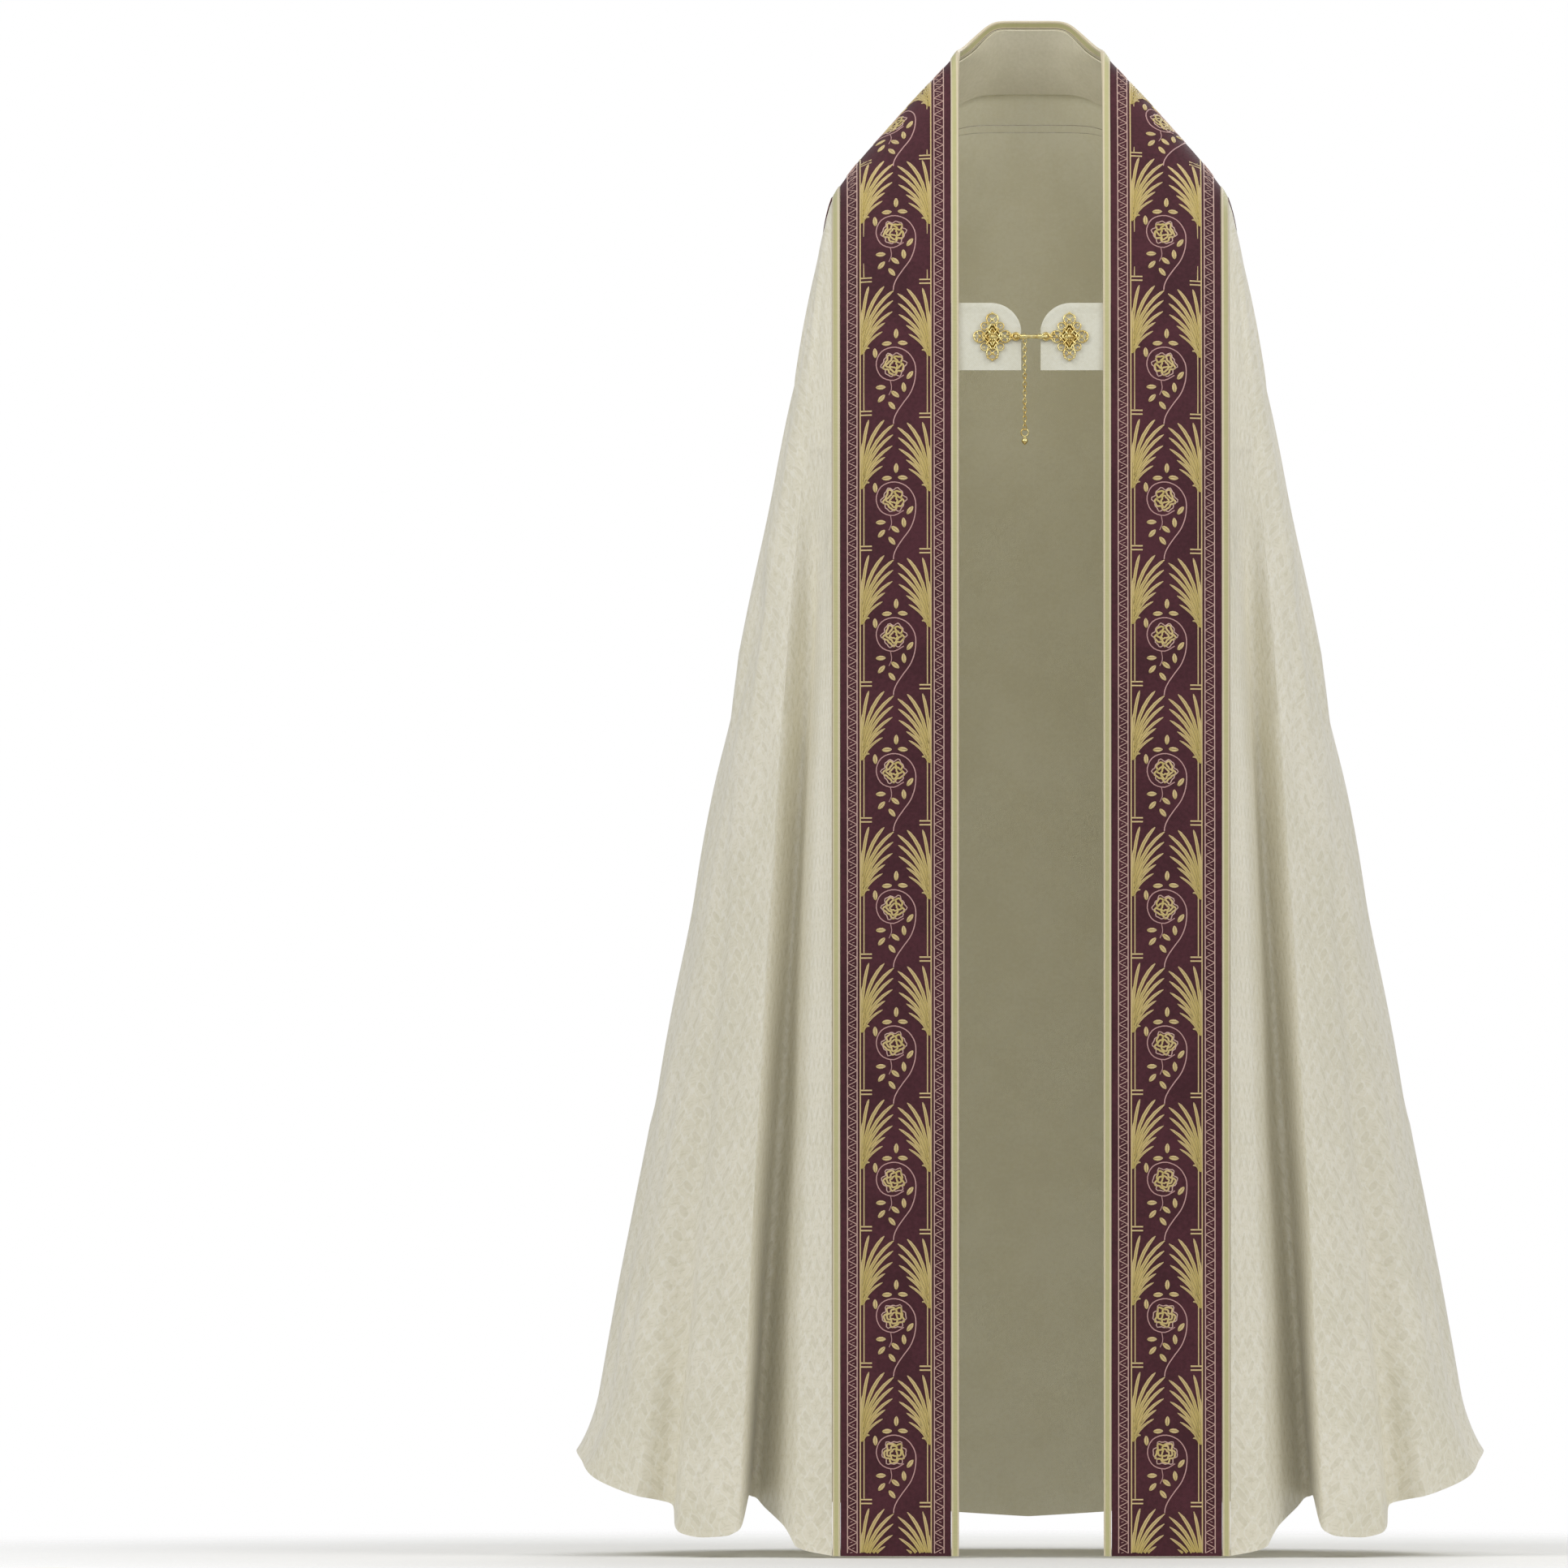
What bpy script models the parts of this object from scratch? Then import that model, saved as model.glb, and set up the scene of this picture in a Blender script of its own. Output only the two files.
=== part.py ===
"""Cope: a long cloak with bands, hood and clasp, hanging as it does when it is worn.

Metres. The front faces -Y, +X is the viewer's right and +Z is up. The origin is the middle of the line
on which the wearer's shoulders carry the cloth. Heights in the tables are above the front hem.
"""

import math
from collections import namedtuple

import bmesh
import bpy
import numpy as np

# Driving dimensions
HOLD_HEIGHT = 1.400
CLOTH = 0.002
SEAM_GAP = 0.0003
CLOAK_GAP = 0.0007

# Front edge, bands and bindings, measured across the cloth from the front edge
FRONT_EDGE = 0.0707
BINDING = 0.0072
BAND = 0.1088
STRIP = BINDING + BAND + BINDING
STRIP_LENGTH = 1.630
STRIP_STRAIGHT = 1.10
BINDING_LIFT = 0.0008
BINDING_THICK = 0.0030
BAND_CLEAR = 0.0006

# Neck and shoulders
NECK_TOP = 1.503
NECK_FLAT = 0.46
NECK_SOFTNESS = 8
TURN_TALL = 0.060

# Rings of the cloak: half width, and the front, side and back places along Y
Section = namedtuple("Section", "height half_width front side back")
SECTIONS = (
    Section(0.000, 0.452, -0.205, 0.035, 0.320),
    Section(0.187, 0.419, -0.197, 0.032, 0.300),
    Section(0.498, 0.360, -0.182, 0.026, 0.262),
    Section(0.806, 0.302, -0.165, 0.020, 0.228),
    Section(1.015, 0.261, -0.150, 0.015, 0.203),
    Section(1.131, 0.238, -0.138, 0.012, 0.190),
    Section(1.255, 0.213, -0.116, 0.008, 0.172),
    Section(1.309, 0.2005, -0.100, 0.005, 0.158),
    Section(1.334, 0.190, -0.091, 0.003, 0.151),
    Section(1.405, 0.1318, -0.060, 0.000, 0.126),
    Section(1.460, 0.0812, -0.031, 0.000, 0.096),
    Section(1.470, 0.0724, -0.027, 0.000, 0.091),
    Section(1.478, 0.0692, -0.025, 0.000, 0.086),
    Section(1.520, 0.0690, -0.024, 0.000, 0.060),
)
FRONT_ROUND = 2.7
BACK_ROUND = 2.2

# Folds: place round the ring from the band (0) to the centre of the back (1). Depth, and how far the
# bottom of the fold slides backwards under its far edge, are at the hem.
Fold = namedtuple("Fold", "name place_top place_hem width_top width_hem depth slide start growth")
FOLDS = (
    Fold("strip beside the band", 0.030, 0.024, 0.020, 0.030, -0.007, 0.000, 0.95, 0.8),
    Fold("front valley", 0.062, 0.058, 0.021, 0.028, 0.105, 0.040, 1.08, 0.8),
    Fold("front lobe", 0.125, 0.118, 0.050, 0.060, -0.012, 0.000, 0.95, 1.0),
    Fold("lobe recess", 0.205, 0.192, 0.030, 0.030, 0.030, 0.006, 0.72, 1.2),
    Fold("side recess", 0.460, 0.500, 0.050, 0.060, 0.032, 0.000, 0.90, 1.1),
    Fold("back edge recess", 0.720, 0.735, 0.040, 0.055, 0.030, 0.000, 0.86, 1.1),
    Fold("back panel crease", 0.845, 0.835, 0.030, 0.042, 0.036, 0.000, 0.93, 0.8),
)

# Hem: its height round the ring
Hem = namedtuple("Hem", "place height")
HEM = (
    Hem(0.000, 0.000),
    Hem(0.030, 0.009),
    Hem(0.040, 0.030),
    Hem(0.050, 0.045),
    Hem(0.060, 0.056),
    Hem(0.070, 0.058),
    Hem(0.084, 0.026),
    Hem(0.100, 0.019),
    Hem(0.125, 0.018),
    Hem(0.150, 0.021),
    Hem(0.168, 0.029),
    Hem(0.186, 0.048),
    Hem(0.205, 0.053),
    Hem(0.250, 0.061),
    Hem(0.320, 0.075),
    Hem(0.380, 0.092),
    Hem(0.440, 0.101),
    Hem(0.520, 0.090),
    Hem(0.630, 0.068),
    Hem(0.835, 0.046),
    Hem(1.000, 0.030),
)
FLARE_PLACE = 0.40
FLARE_REACH = 0.22
FLARE_OUT = 0.012
FLARE_TALL = 0.060

# Side seam between the back and the fronts: its place round the ring
SeamAt = namedtuple("SeamAt", "height place")
SIDE_SEAM = (
    SeamAt(0.000, 0.630),
    SeamAt(0.630, 0.578),
    SeamAt(1.334, 0.416),
    SeamAt(1.450, 0.410),
)

# Hood
HOOD_HALF_WIDTH = 0.2405
HOOD_BORDER = 0.087
HOOD_LOWER_BORDER = 0.081
HOOD_CORNER = 1.033
HOOD_TIP = 0.902
HOOD_LIFT_TOP = 0.0009
HOOD_LIFT_LOW = 0.0045
HOOD_SPRING = 1.40
HOOD_SPRING_TALL = 0.10

# Facing inside the back neck
FACING_THICK = 0.0012
FACING_CLEAR = 0.0022

# Clasp tabs
TAB_INNER = 0.0095
TAB_OUTER = 0.0860
TAB_LOW = 1.158
TAB_HIGH = 1.224
TAB_CORNER = 0.030
TAB_CORNER_SHARE = 0.97
TAB_THICK = 0.0030
TAB_CLEAR = 0.0006

# Clasp plates: quatrefoils with a neck towards the middle
PLATE_X = 0.0377
PLATE_Z = 1.191
PLATE_HALF_WIDE = 0.0172
PLATE_HALF_TALL = 0.0230
PLATE_THICK = 0.0016
LOBE_MEAN = 0.86
LOBE_FOUR = 0.14
LOBE_EIGHT = 0.05
NECK_REACH = 0.0125
NECK_HALF = 0.0032

# Hook bar, chain and end drop
BAR_RADIUS = 0.0012
BAR_BALL = 0.0018
BAR_NECK = 0.0040
BAR_HALF_LENGTH = 0.0165
CHAIN_X = -0.0060
CHAIN_RING = 0.0026
CHAIN_RING_WIRE = 0.0007
CHAIN_LINK = 0.0042
CHAIN_LINKS = 21
CHAIN_WIDE = 0.0019
CHAIN_NARROW = 0.0009
DROP_LENGTH = 0.0150
DROP_RADIUS = 0.0026
DROP_NECK = 0.0006
DROP_BELLY = 1.6

# Faces: rows and columns over the cloth, and steps round the small pieces
Stretch = namedtuple("Stretch", "end steps")
FRONT_STRETCHES = (
    Stretch(0.028, 2),
    Stretch(0.041, 2),
    Stretch(0.057, 2),
    Stretch(0.073, 2),
    Stretch(0.088, 2),
    Stretch(0.150, 3),
    Stretch(0.170, 1),
    Stretch(0.182, 1),
    Stretch(0.196, 1),
    Stretch(0.212, 1),
    Stretch(0.340, 4),
)
FRONT_COLUMNS = 7
BACK_COLUMNS = 17
CLOAK_ROWS = 21
ROW_EVENNESS = 1.25
ROW_CROWDING = 1.45
ROW_CROWDING_FADE = 0.06
ROW_STRETCH = 0.3
BAND_STRETCHES = (Stretch(STRIP_STRAIGHT, 11), Stretch(STRIP_LENGTH - SEAM_GAP / 2, 30))
BAND_COLUMNS = 6
FACING_COLUMNS = 4
FACING_STATIONS = 8
HOOD_ROWS = 10
HOOD_PANEL_COLUMNS = 16
HOOD_SIDE_COLUMNS = 4
HOOD_LOWER_ROWS = 3
HOOD_LOWER_COLUMNS = 12
TAB_STRETCHES = (Stretch(TAB_INNER + TAB_CORNER, 6), Stretch(TAB_OUTER, 3))
TAB_ROWS = 4
PLATE_STEPS = 48
BALL_STEPS = 5
TURN_STEPS = 12
RING_STEPS = 16
WIRE_STEPS = 6
CHAIN_SIDES = 6
CHAIN_STEPS = 2
DROP_ROWS = 8

# Surface tables: how finely the bands and the back are sampled, and how far past their edges
STRIP_SPARE = 0.004
HOOD_SPARE = 0.030
HOOD_SPARE_LOW = 0.020
HOOD_TABLE_TOP = 1.46
HOOD_TABLE_ANGLE = 0.9
BACK_DROP = 0.30
RIDGE_LOW = 1.0
FINE = 521
MIDDLING = 240
COARSE = 80
STRIP_ROWS = 24
STRIP_COLUMNS = 816

# Colours: linear red, green and blue
IVORY = (0.72, 0.69, 0.58)
LINING = (0.46, 0.43, 0.33)
BURGUNDY = (0.065, 0.018, 0.026)
PALE_GOLD = (0.58, 0.54, 0.32)
GOLD_METAL = (0.72, 0.52, 0.20)

MIRROR_X = np.array([-1, 1, 1])


def monotone(xs, ys, at):
    """Smooth curve through (xs, ys) that never overshoots a row of its table."""
    xs = np.asarray(xs, float)
    ys = np.asarray(ys, float)
    step = np.diff(xs)
    slope = np.diff(ys) / step
    rising = slope[:-1] * slope[1:] > 0
    total = np.where(rising, slope[:-1] + slope[1:], 1.0)
    inner = np.where(rising, 2 * slope[:-1] * slope[1:] / total, 0.0)
    tangent = np.concatenate([slope[:1], inner, slope[-1:]])
    at = np.clip(at, xs[0], xs[-1])
    i = np.clip(np.searchsorted(xs, at) - 1, 0, len(step) - 1)
    t = (at - xs[i]) / step[i]
    rise = (ys[i + 1] - ys[i]) * (3 * t**2 - 2 * t**3)
    lean = step[i] * (tangent[i] * (t - 2 * t**2 + t**3) + tangent[i + 1] * (t**3 - t**2))
    return ys[i] + rise + lean


def table(rows, column, at):
    """Value of a table's column, between its rows, which run by their first column."""
    return monotone([row[0] for row in rows], [getattr(row, column) for row in rows], at)


def lengths(line):
    """Length along a line of points, up to each of them."""
    return np.concatenate([[0], np.cumsum(np.linalg.norm(np.diff(line, axis=0), axis=1))])


def at_lengths(line, run, along):
    """Points of a line at some lengths along it."""
    return np.stack([np.interp(along, run, line[:, k]) for k in range(3)], -1)


def subdivided(start, stretches):
    """Values from the start on, with each stretch's number of equal steps up to its end."""
    values = [start]
    for end, steps in stretches:
        low = values[-1]
        values += [low + (end - low) * k / steps for k in range(1, steps + 1)]
    return np.array(values)


def half_width(height):
    return table(SECTIONS, "half_width", height)


def ring_point(angle, height):
    """Point of the smooth ring, and its outward direction in plan. Angle 0 is front, pi is back."""
    half = half_width(height)
    side = table(SECTIONS, "side", height)
    forward = angle < math.pi / 2
    reach = np.where(forward, table(SECTIONS, "front", height), table(SECTIONS, "back", height)) - side
    exponent = np.where(forward, FRONT_ROUND, BACK_ROUND)
    across = np.clip(np.sin(angle), 0, 1) ** (2 / exponent)
    along = np.abs(np.cos(angle)) ** (2 / exponent)
    point = np.stack([half * across, side + reach * along, height + 0 * across], -1)
    out_x = across ** (exponent - 1) / half
    out_y = np.sign(reach) * along ** (exponent - 1) / np.maximum(np.abs(reach), 1e-6)
    size = np.hypot(out_x, out_y)
    return point, np.stack([out_x / size, out_y / size, 0 * size], -1)


def angle_of(x, height, exponent):
    return np.arcsin(np.clip(x / half_width(height), 0, 1) ** (exponent / 2))


def front_y(x, height):
    """Place along Y of the front of the ring."""
    return ring_point(angle_of(np.abs(x), height, FRONT_ROUND), np.asarray(height, float))[0][..., 1]


def place_angle(place, height):
    """Ring angle of a place between the band's edge (0) and the centre of the back (1)."""
    edge = angle_of(FRONT_EDGE + STRIP + CLOAK_GAP, height, FRONT_ROUND)
    return edge + (math.pi - edge) * place


def hem_height(place):
    return table(HEM, "height", place)


def seam_place(height):
    return np.interp(height, [row.height for row in SIDE_SEAM], [row.place for row in SIDE_SEAM])


def cloak_point(place, height):
    """Point on the outer face of the cloak, folds and hem flare included."""
    place = np.asarray(place, float)
    height = np.asarray(height, float)
    point, outward = ring_point(place_angle(place, height), height)
    push = np.zeros(point.shape[:-1])
    slide = np.zeros(point.shape[:-1])
    for fold in FOLDS:
        down = np.clip((fold.start - height) / fold.start, 0, 1)
        centre_place = fold.place_top + (fold.place_hem - fold.place_top) * down
        width = fold.width_top + (fold.width_hem - fold.width_top) * down
        centre = ring_point(place_angle(centre_place, height), height)[0]
        away = np.hypot(*(point - centre)[..., :2].T).T / width
        share = down**fold.growth * np.cos(np.clip(away, 0, 1) * math.pi / 2) ** 2
        push -= fold.depth * share
        slide += fold.slide * share
    above = np.clip((height - hem_height(place)) / FLARE_TALL, 0, 1)
    near = np.clip(np.abs(place - FLARE_PLACE) / FLARE_REACH, 0, 1)
    push += FLARE_OUT * (1 - above) ** 2 * np.cos(near * math.pi / 2) ** 2
    backward = np.stack([-outward[..., 1], outward[..., 0], outward[..., 2]], -1)
    return point + outward * push[..., None] + backward * slide[..., None]


def neck_slope(across):
    """Share of the climb from the shoulder line (across 1) to the centre of the back (across 0)."""
    climb = (1 - across) / NECK_FLAT
    return 1 - np.log1p(np.exp(NECK_SOFTNESS * (1 - climb))) / NECK_SOFTNESS


def back_profile():
    """Distance down the centre of the back from the neck's edge, and the drop there."""
    drop = np.linspace(0, BACK_DROP, MIDDLING)
    line = ring_point(np.full(MIDDLING, math.pi), NECK_TOP - drop)[0]
    return lengths(line), drop


def strip_line(w):
    """Points along the bands at the distance w from the front edge: front hem, shoulder, centre back."""
    x = FRONT_EDGE + w
    heights = np.linspace(RIDGE_LOW, SECTIONS[-1].height, FINE)
    ridge = np.interp(-x, -half_width(heights), heights)
    low = np.linspace(0, ridge - TURN_TALL, COARSE)
    near = ridge - TURN_TALL * np.linspace(1, 0, COARSE)[1:] ** FRONT_ROUND
    front_heights = np.concatenate([low, near])
    front = ring_point(angle_of(x, front_heights, FRONT_ROUND), front_heights)[0]
    turn = np.linspace(0, math.pi / 2, COARSE)[1:]
    climb = NECK_TOP - np.interp(w, *back_profile()) - ridge
    share = neck_slope(np.clip(np.cos(turn), 0, 1) ** (2 / BACK_ROUND))
    back = ring_point(math.pi / 2 + turn, ridge + climb * share)[0]
    return np.concatenate([front, back]), len(front)


def strip_table():
    """Grid of points over the bands: rows by distance from the front edge, columns by length."""
    widths = np.linspace(0, STRIP + STRIP_SPARE, STRIP_ROWS)
    along = np.linspace(0, STRIP_LENGTH, STRIP_COLUMNS)
    rows = []
    for w in widths:
        line, ridge = strip_line(w)
        run = lengths(line)
        turn = run[ridge - 1]
        run[ridge:] = turn + (run[ridge:] - turn) * (STRIP_LENGTH - turn) / (run[-1] - turn)
        rows.append(at_lengths(line, run, along))
    return np.array(rows), widths, along


def hood_table():
    """Grid of points over the back: rows by height, columns by distance round from the centre."""
    heights = np.linspace(HOOD_TIP - HOOD_SPARE_LOW, HOOD_TABLE_TOP, COARSE)
    reach = np.linspace(0, HOOD_HALF_WIDTH + HOOD_SPARE, COARSE)
    angles = np.linspace(math.pi, HOOD_TABLE_ANGLE, MIDDLING)
    rows = []
    for height in heights:
        line = ring_point(angles, np.full(MIDDLING, height))[0]
        rows.append(at_lengths(line, lengths(line), reach))
    return np.array(rows), heights, reach


def look_up(grid, rows, columns, row, column, lift):
    """Point of a grid at (row, column), moved out by lift along the grid's normal."""
    i = np.clip((row - rows[0]) / (rows[1] - rows[0]), 0, len(rows) - 1.001)
    j = np.clip((column - columns[0]) / (columns[1] - columns[0]), 0, len(columns) - 1.001)
    a = i.astype(int)
    b = j.astype(int)
    u = (i - a)[..., None]
    v = (j - b)[..., None]
    near = grid[a, b] * (1 - v) + grid[a, b + 1] * v
    far = grid[a + 1, b] * (1 - v) + grid[a + 1, b + 1] * v
    side = (grid[a, b + 1] - grid[a, b]) * (1 - u) + (grid[a + 1, b + 1] - grid[a + 1, b]) * u
    normal = np.cross(far - near, side)
    normal /= np.linalg.norm(normal, axis=-1, keepdims=True)
    return near * (1 - u) + far * u + normal * np.asarray(lift)[..., None]


STRIP_GRID = strip_table()
HOOD_GRID = hood_table()


def strip_point(along, w, lift=0.0):
    """Point on the right band, at a length from the hem and a distance from the front edge."""
    along, w = np.broadcast_arrays(np.asarray(along, float), np.asarray(w, float))
    return look_up(*STRIP_GRID, w, along, lift)


def hood_point(reach, height, lift=0.0):
    """Point on the back, at a distance round from its centre and a height."""
    sign = np.where(np.asarray(reach) < 0, -1.0, 1.0)
    point = look_up(*HOOD_GRID, np.asarray(height, float), np.abs(reach), lift)
    point[..., 0] *= sign
    return point


def top_line():
    """Lower edge of the band round the back: ring place, distance from the centre, and height."""
    line, ridge = strip_line(STRIP + CLOAK_GAP)
    back = line[ridge - 1 :]
    angle = math.pi / 2 + np.linspace(0, math.pi / 2, len(back))
    reach = []
    for point, turn in zip(back, angle):
        arc = ring_point(np.linspace(math.pi, turn, COARSE), np.full(COARSE, point[2]))[0]
        reach.append(lengths(arc)[-1])
    return angle / (math.pi / 2) - 1, np.array(reach), back[:, 2]


TOP_PLACE, TOP_REACH, TOP_HEIGHT = top_line()


def top_height(place):
    return np.interp(place, TOP_PLACE, TOP_HEIGHT)


def hood_top(reach):
    return np.interp(np.abs(reach), TOP_REACH[::-1], TOP_HEIGHT[::-1])


def clear_scene():
    for obj in list(bpy.data.objects):
        bpy.data.objects.remove(obj)


def make_material(name, colour, roughness, metallic=0.0):
    material = bpy.data.materials.new(name)
    material.use_nodes = True
    shader = material.node_tree.nodes["Principled BSDF"]
    shader.inputs["Base Color"].default_value = (*colour, 1)
    shader.inputs["Roughness"].default_value = roughness
    shader.inputs["Metallic"].default_value = metallic
    return material


def add_object(name, data, material, collection):
    obj = bpy.data.objects.new(name, data)
    data.materials.append(material)
    collection.objects.link(obj)
    return obj


def cloth(name, outer, inner, material, collection):
    """Cloth wall between the grids of points of its outer and inner faces, closed along its edges."""
    rows, columns = outer.shape[:2]
    order = np.arange(rows * columns).reshape(rows, columns)
    rim = [*order[0, :-1], *order[:-1, -1], *order[-1, :0:-1], *order[:0:-1, 0]]
    bm = bmesh.new()
    faces = [[bm.verts.new(point) for point in grid.reshape(-1, 3)] for grid in (outer, inner)]
    for verts in faces:
        for i in range(rows - 1):
            for j in range(columns - 1):
                k = order[i, j]
                bm.faces.new([verts[k], verts[k + columns], verts[k + columns + 1], verts[k + 1]])
    out, back = faces
    for here, after in zip(rim, rim[1:] + rim[:1]):
        bm.faces.new([out[here], out[after], back[after], back[here]])
    bmesh.ops.recalc_face_normals(bm, faces=bm.faces)
    mesh = bpy.data.meshes.new(name)
    bm.to_mesh(mesh)
    bm.free()
    obj = add_object(name, mesh, material, collection)
    obj.location.z = -HOLD_HEIGHT


def both_sides(name, outer, inner, material, collection):
    """The right piece, and the left one as its mirror image."""
    cloth(name + "_right", outer, inner, material, collection)
    cloth(name + "_left", outer * MIRROR_X, inner * MIRROR_X, material, collection)


def whole(right):
    """Both halves of a piece in one grid, from the half whose last column is the centre."""
    return np.concatenate([right, right[:, -2::-1] * MIRROR_X], 1)


def down_shares(place):
    """Shares from the top of the cloak to its hem, closer together where it turns over the shoulder."""
    power = ROW_EVENNESS + ROW_CROWDING * np.exp(-place / ROW_CROWDING_FADE)
    share = np.linspace(0, 1, CLOAK_ROWS) ** power
    return share + ROW_STRETCH * share**2 * (1 - share)


def seam_half_gap(height):
    """Half the seam gap, as a difference in ring place."""
    place = seam_place(height)
    step = 1e-3
    run = np.linalg.norm(cloak_point(place + step, height) - cloak_point(place, height), axis=-1)
    return SEAM_GAP / 2 * step / run


def cloak_inside(place, height, depth):
    """Point at a depth under the outer face of the cloak."""
    step = 1e-4
    after = np.minimum(place + step, 1)
    along = cloak_point(after, height) - cloak_point(after - step, height)
    up = cloak_point(place, height + step) - cloak_point(place, height - step)
    outward = np.cross(along, up)
    outward /= np.linalg.norm(outward, axis=-1, keepdims=True)
    return cloak_point(place, height) - outward * depth


def cloak_grids(columns):
    """Outer and inner grid over the cloak, from each column's ring place as it runs down."""
    places = []
    heights = []
    for place_at in columns:
        height = np.full(CLOAK_ROWS, 1.0)
        shares = down_shares(place_at(height)[0])
        for _ in range(8):
            top = top_height(place_at(height))
            height = top + (hem_height(place_at(height)) - top) * shares
        places.append(place_at(height))
        heights.append(height)
    place = np.stack(places, 1)
    height = np.stack(heights, 1)
    return cloak_inside(place, height, 0.0), cloak_inside(place, height, CLOTH)


def fixed_column(place):
    return lambda height: np.full_like(height, place)


def column_to_seam(start, share):
    """Column of a front, at a share of the way from a ring place to the side seam."""
    return lambda height: start + (seam_place(height) - seam_half_gap(height) - start) * share


def column_past_seam(share):
    """Column of the back, at a share of the way from the side seam to the centre."""

    def place_at(height):
        seam = seam_place(height) + seam_half_gap(height)
        return seam + (1 - seam) * share

    return place_at


def build_cloak(material, collection):
    """The cloak: two fronts that reach from the bands to the side seams, and the back."""
    places = subdivided(0.0, FRONT_STRETCHES)
    columns = [fixed_column(place) for place in places]
    columns += [column_to_seam(places[-1], k / FRONT_COLUMNS) for k in range(1, FRONT_COLUMNS + 1)]
    both_sides("mantle", *cloak_grids(columns), material, collection)
    columns = [column_past_seam(k / BACK_COLUMNS) for k in range(BACK_COLUMNS + 1)]
    outer, inner = cloak_grids(columns)
    cloth("mantle_back", whole(outer), whole(inner), material, collection)


def strip_grids(along, widths, lift, thickness):
    """Outer and inner grid of a strip of cloth on the bands' surface."""
    widths = np.asarray(widths)[:, None]
    return strip_point(along[None], widths, lift), strip_point(along[None], widths, lift - thickness)


def band_widths():
    """Stations across a band, between its two bindings."""
    return np.linspace(BINDING + BAND_CLEAR, BINDING + BAND - BAND_CLEAR, BAND_COLUMNS + 1)


def build_bands(band_material, binding_material, collection):
    """Bands from the front hem over the shoulders to the centre back, bound along both edges."""
    along = subdivided(0.0, BAND_STRETCHES)
    both_sides("band", *strip_grids(along, band_widths(), 0, CLOTH), band_material, collection)
    edges = {"binding_inner": (0, BINDING), "binding_outer": (BINDING + BAND, STRIP)}
    for name, edge in edges.items():
        grids = strip_grids(along, edge, BINDING_LIFT, BINDING_THICK)
        both_sides(name, *grids, binding_material, collection)


def build_facing(material, collection):
    """Facing that lines the back neck inside, with its straight lower edge."""
    along = subdivided(0.0, BAND_STRETCHES)[-FACING_STATIONS:]
    widths = band_widths()[: FACING_COLUMNS + 1]
    lift = BINDING_LIFT - BINDING_THICK - FACING_CLEAR
    outer, inner = strip_grids(along, widths, lift, FACING_THICK)
    cloth("neck_facing", whole(outer), whole(inner), material, collection)


def hood_lower(reach):
    """Height of the hood's pointed lower edge."""
    return HOOD_TIP + (HOOD_CORNER - HOOD_TIP) * np.abs(reach) / HOOD_HALF_WIDTH


def hood_piece(name, reach, height, material, collection):
    """Piece of the hood, which lies on the back and stands off it further down."""
    down = np.clip((HOOD_SPRING - height) / HOOD_SPRING_TALL, 0, 1)
    lift = CLOTH + HOOD_LIFT_TOP + (HOOD_LIFT_LOW - HOOD_LIFT_TOP) * down
    outer = hood_point(reach, height, lift)
    cloth(name, outer, hood_point(reach, height, lift - CLOTH), material, collection)


def build_hood(material, collection):
    """The hood: a pointed shield hung under the neck band, with a mitred border on four sides."""
    slope = (HOOD_CORNER - HOOD_TIP) / HOOD_HALF_WIDTH
    lower = HOOD_LOWER_BORDER * math.hypot(1, slope)
    inner = HOOD_HALF_WIDTH - HOOD_BORDER
    gap = SEAM_GAP / 2
    sides = (("right", 1), ("left", -1))

    share = np.linspace(0, 1, HOOD_ROWS + 1)[:, None]
    reach = np.linspace(inner - gap, -inner + gap, HOOD_PANEL_COLUMNS + 1)[None]
    top = hood_top(reach) - SEAM_GAP
    height = top + (hood_lower(reach) + lower + gap - top) * share
    hood_piece("hood_panel", reach + 0 * share, height, material, collection)

    reach = np.linspace(inner + gap, HOOD_HALF_WIDTH, HOOD_SIDE_COLUMNS + 1)[None]
    mitre = hood_lower(inner) + lower
    mitre = mitre + (HOOD_CORNER - mitre) * (reach - inner) / HOOD_BORDER
    top = hood_top(reach) - SEAM_GAP
    height = top + (mitre + gap - top) * share
    for side, sign in sides:
        hood_piece("hood_border_" + side, sign * (reach + 0 * share), height, material, collection)

    across = np.linspace(0, 1, HOOD_LOWER_ROWS + 1)[:, None]
    run = np.linspace(0, 1, HOOD_LOWER_COLUMNS + 1)[None]
    reach_in = gap + (inner - gap) * run
    reach_out = gap + (HOOD_HALF_WIDTH - gap) * run
    reach = reach_in + (reach_out - reach_in) * across
    height_in = hood_lower(reach_in) + lower - gap
    height = height_in + (hood_lower(reach_out) - height_in) * across - gap * run
    for side, sign in sides:
        hood_piece("hood_border_lower_" + side, sign * reach, height, material, collection)


def tab_face(x, height):
    """Place along Y of the tabs' front, just inside the bindings that they come out from."""
    return front_y(x, height) + BINDING_THICK - BINDING_LIFT + TAB_CLEAR


def build_tabs(material, collection):
    """Clasp tabs that reach out from under the bands, with a large round corner at the top."""
    x = subdivided(TAB_INNER, TAB_STRETCHES)[None]
    turn = np.clip(1 - (x - TAB_INNER) / TAB_CORNER, 0, 1)
    high = TAB_HIGH - TAB_CORNER * (1 - np.sqrt(1 - TAB_CORNER_SHARE * turn**2))
    height = high + (TAB_LOW - high) * np.linspace(0, 1, TAB_ROWS + 1)[:, None]
    x = x + 0 * height
    front = np.stack([x, tab_face(np.maximum(x, FRONT_EDGE), height), height], -1)
    both_sides("clasp_tab", front, front + np.array([0, TAB_THICK, 0]), material, collection)


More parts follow.
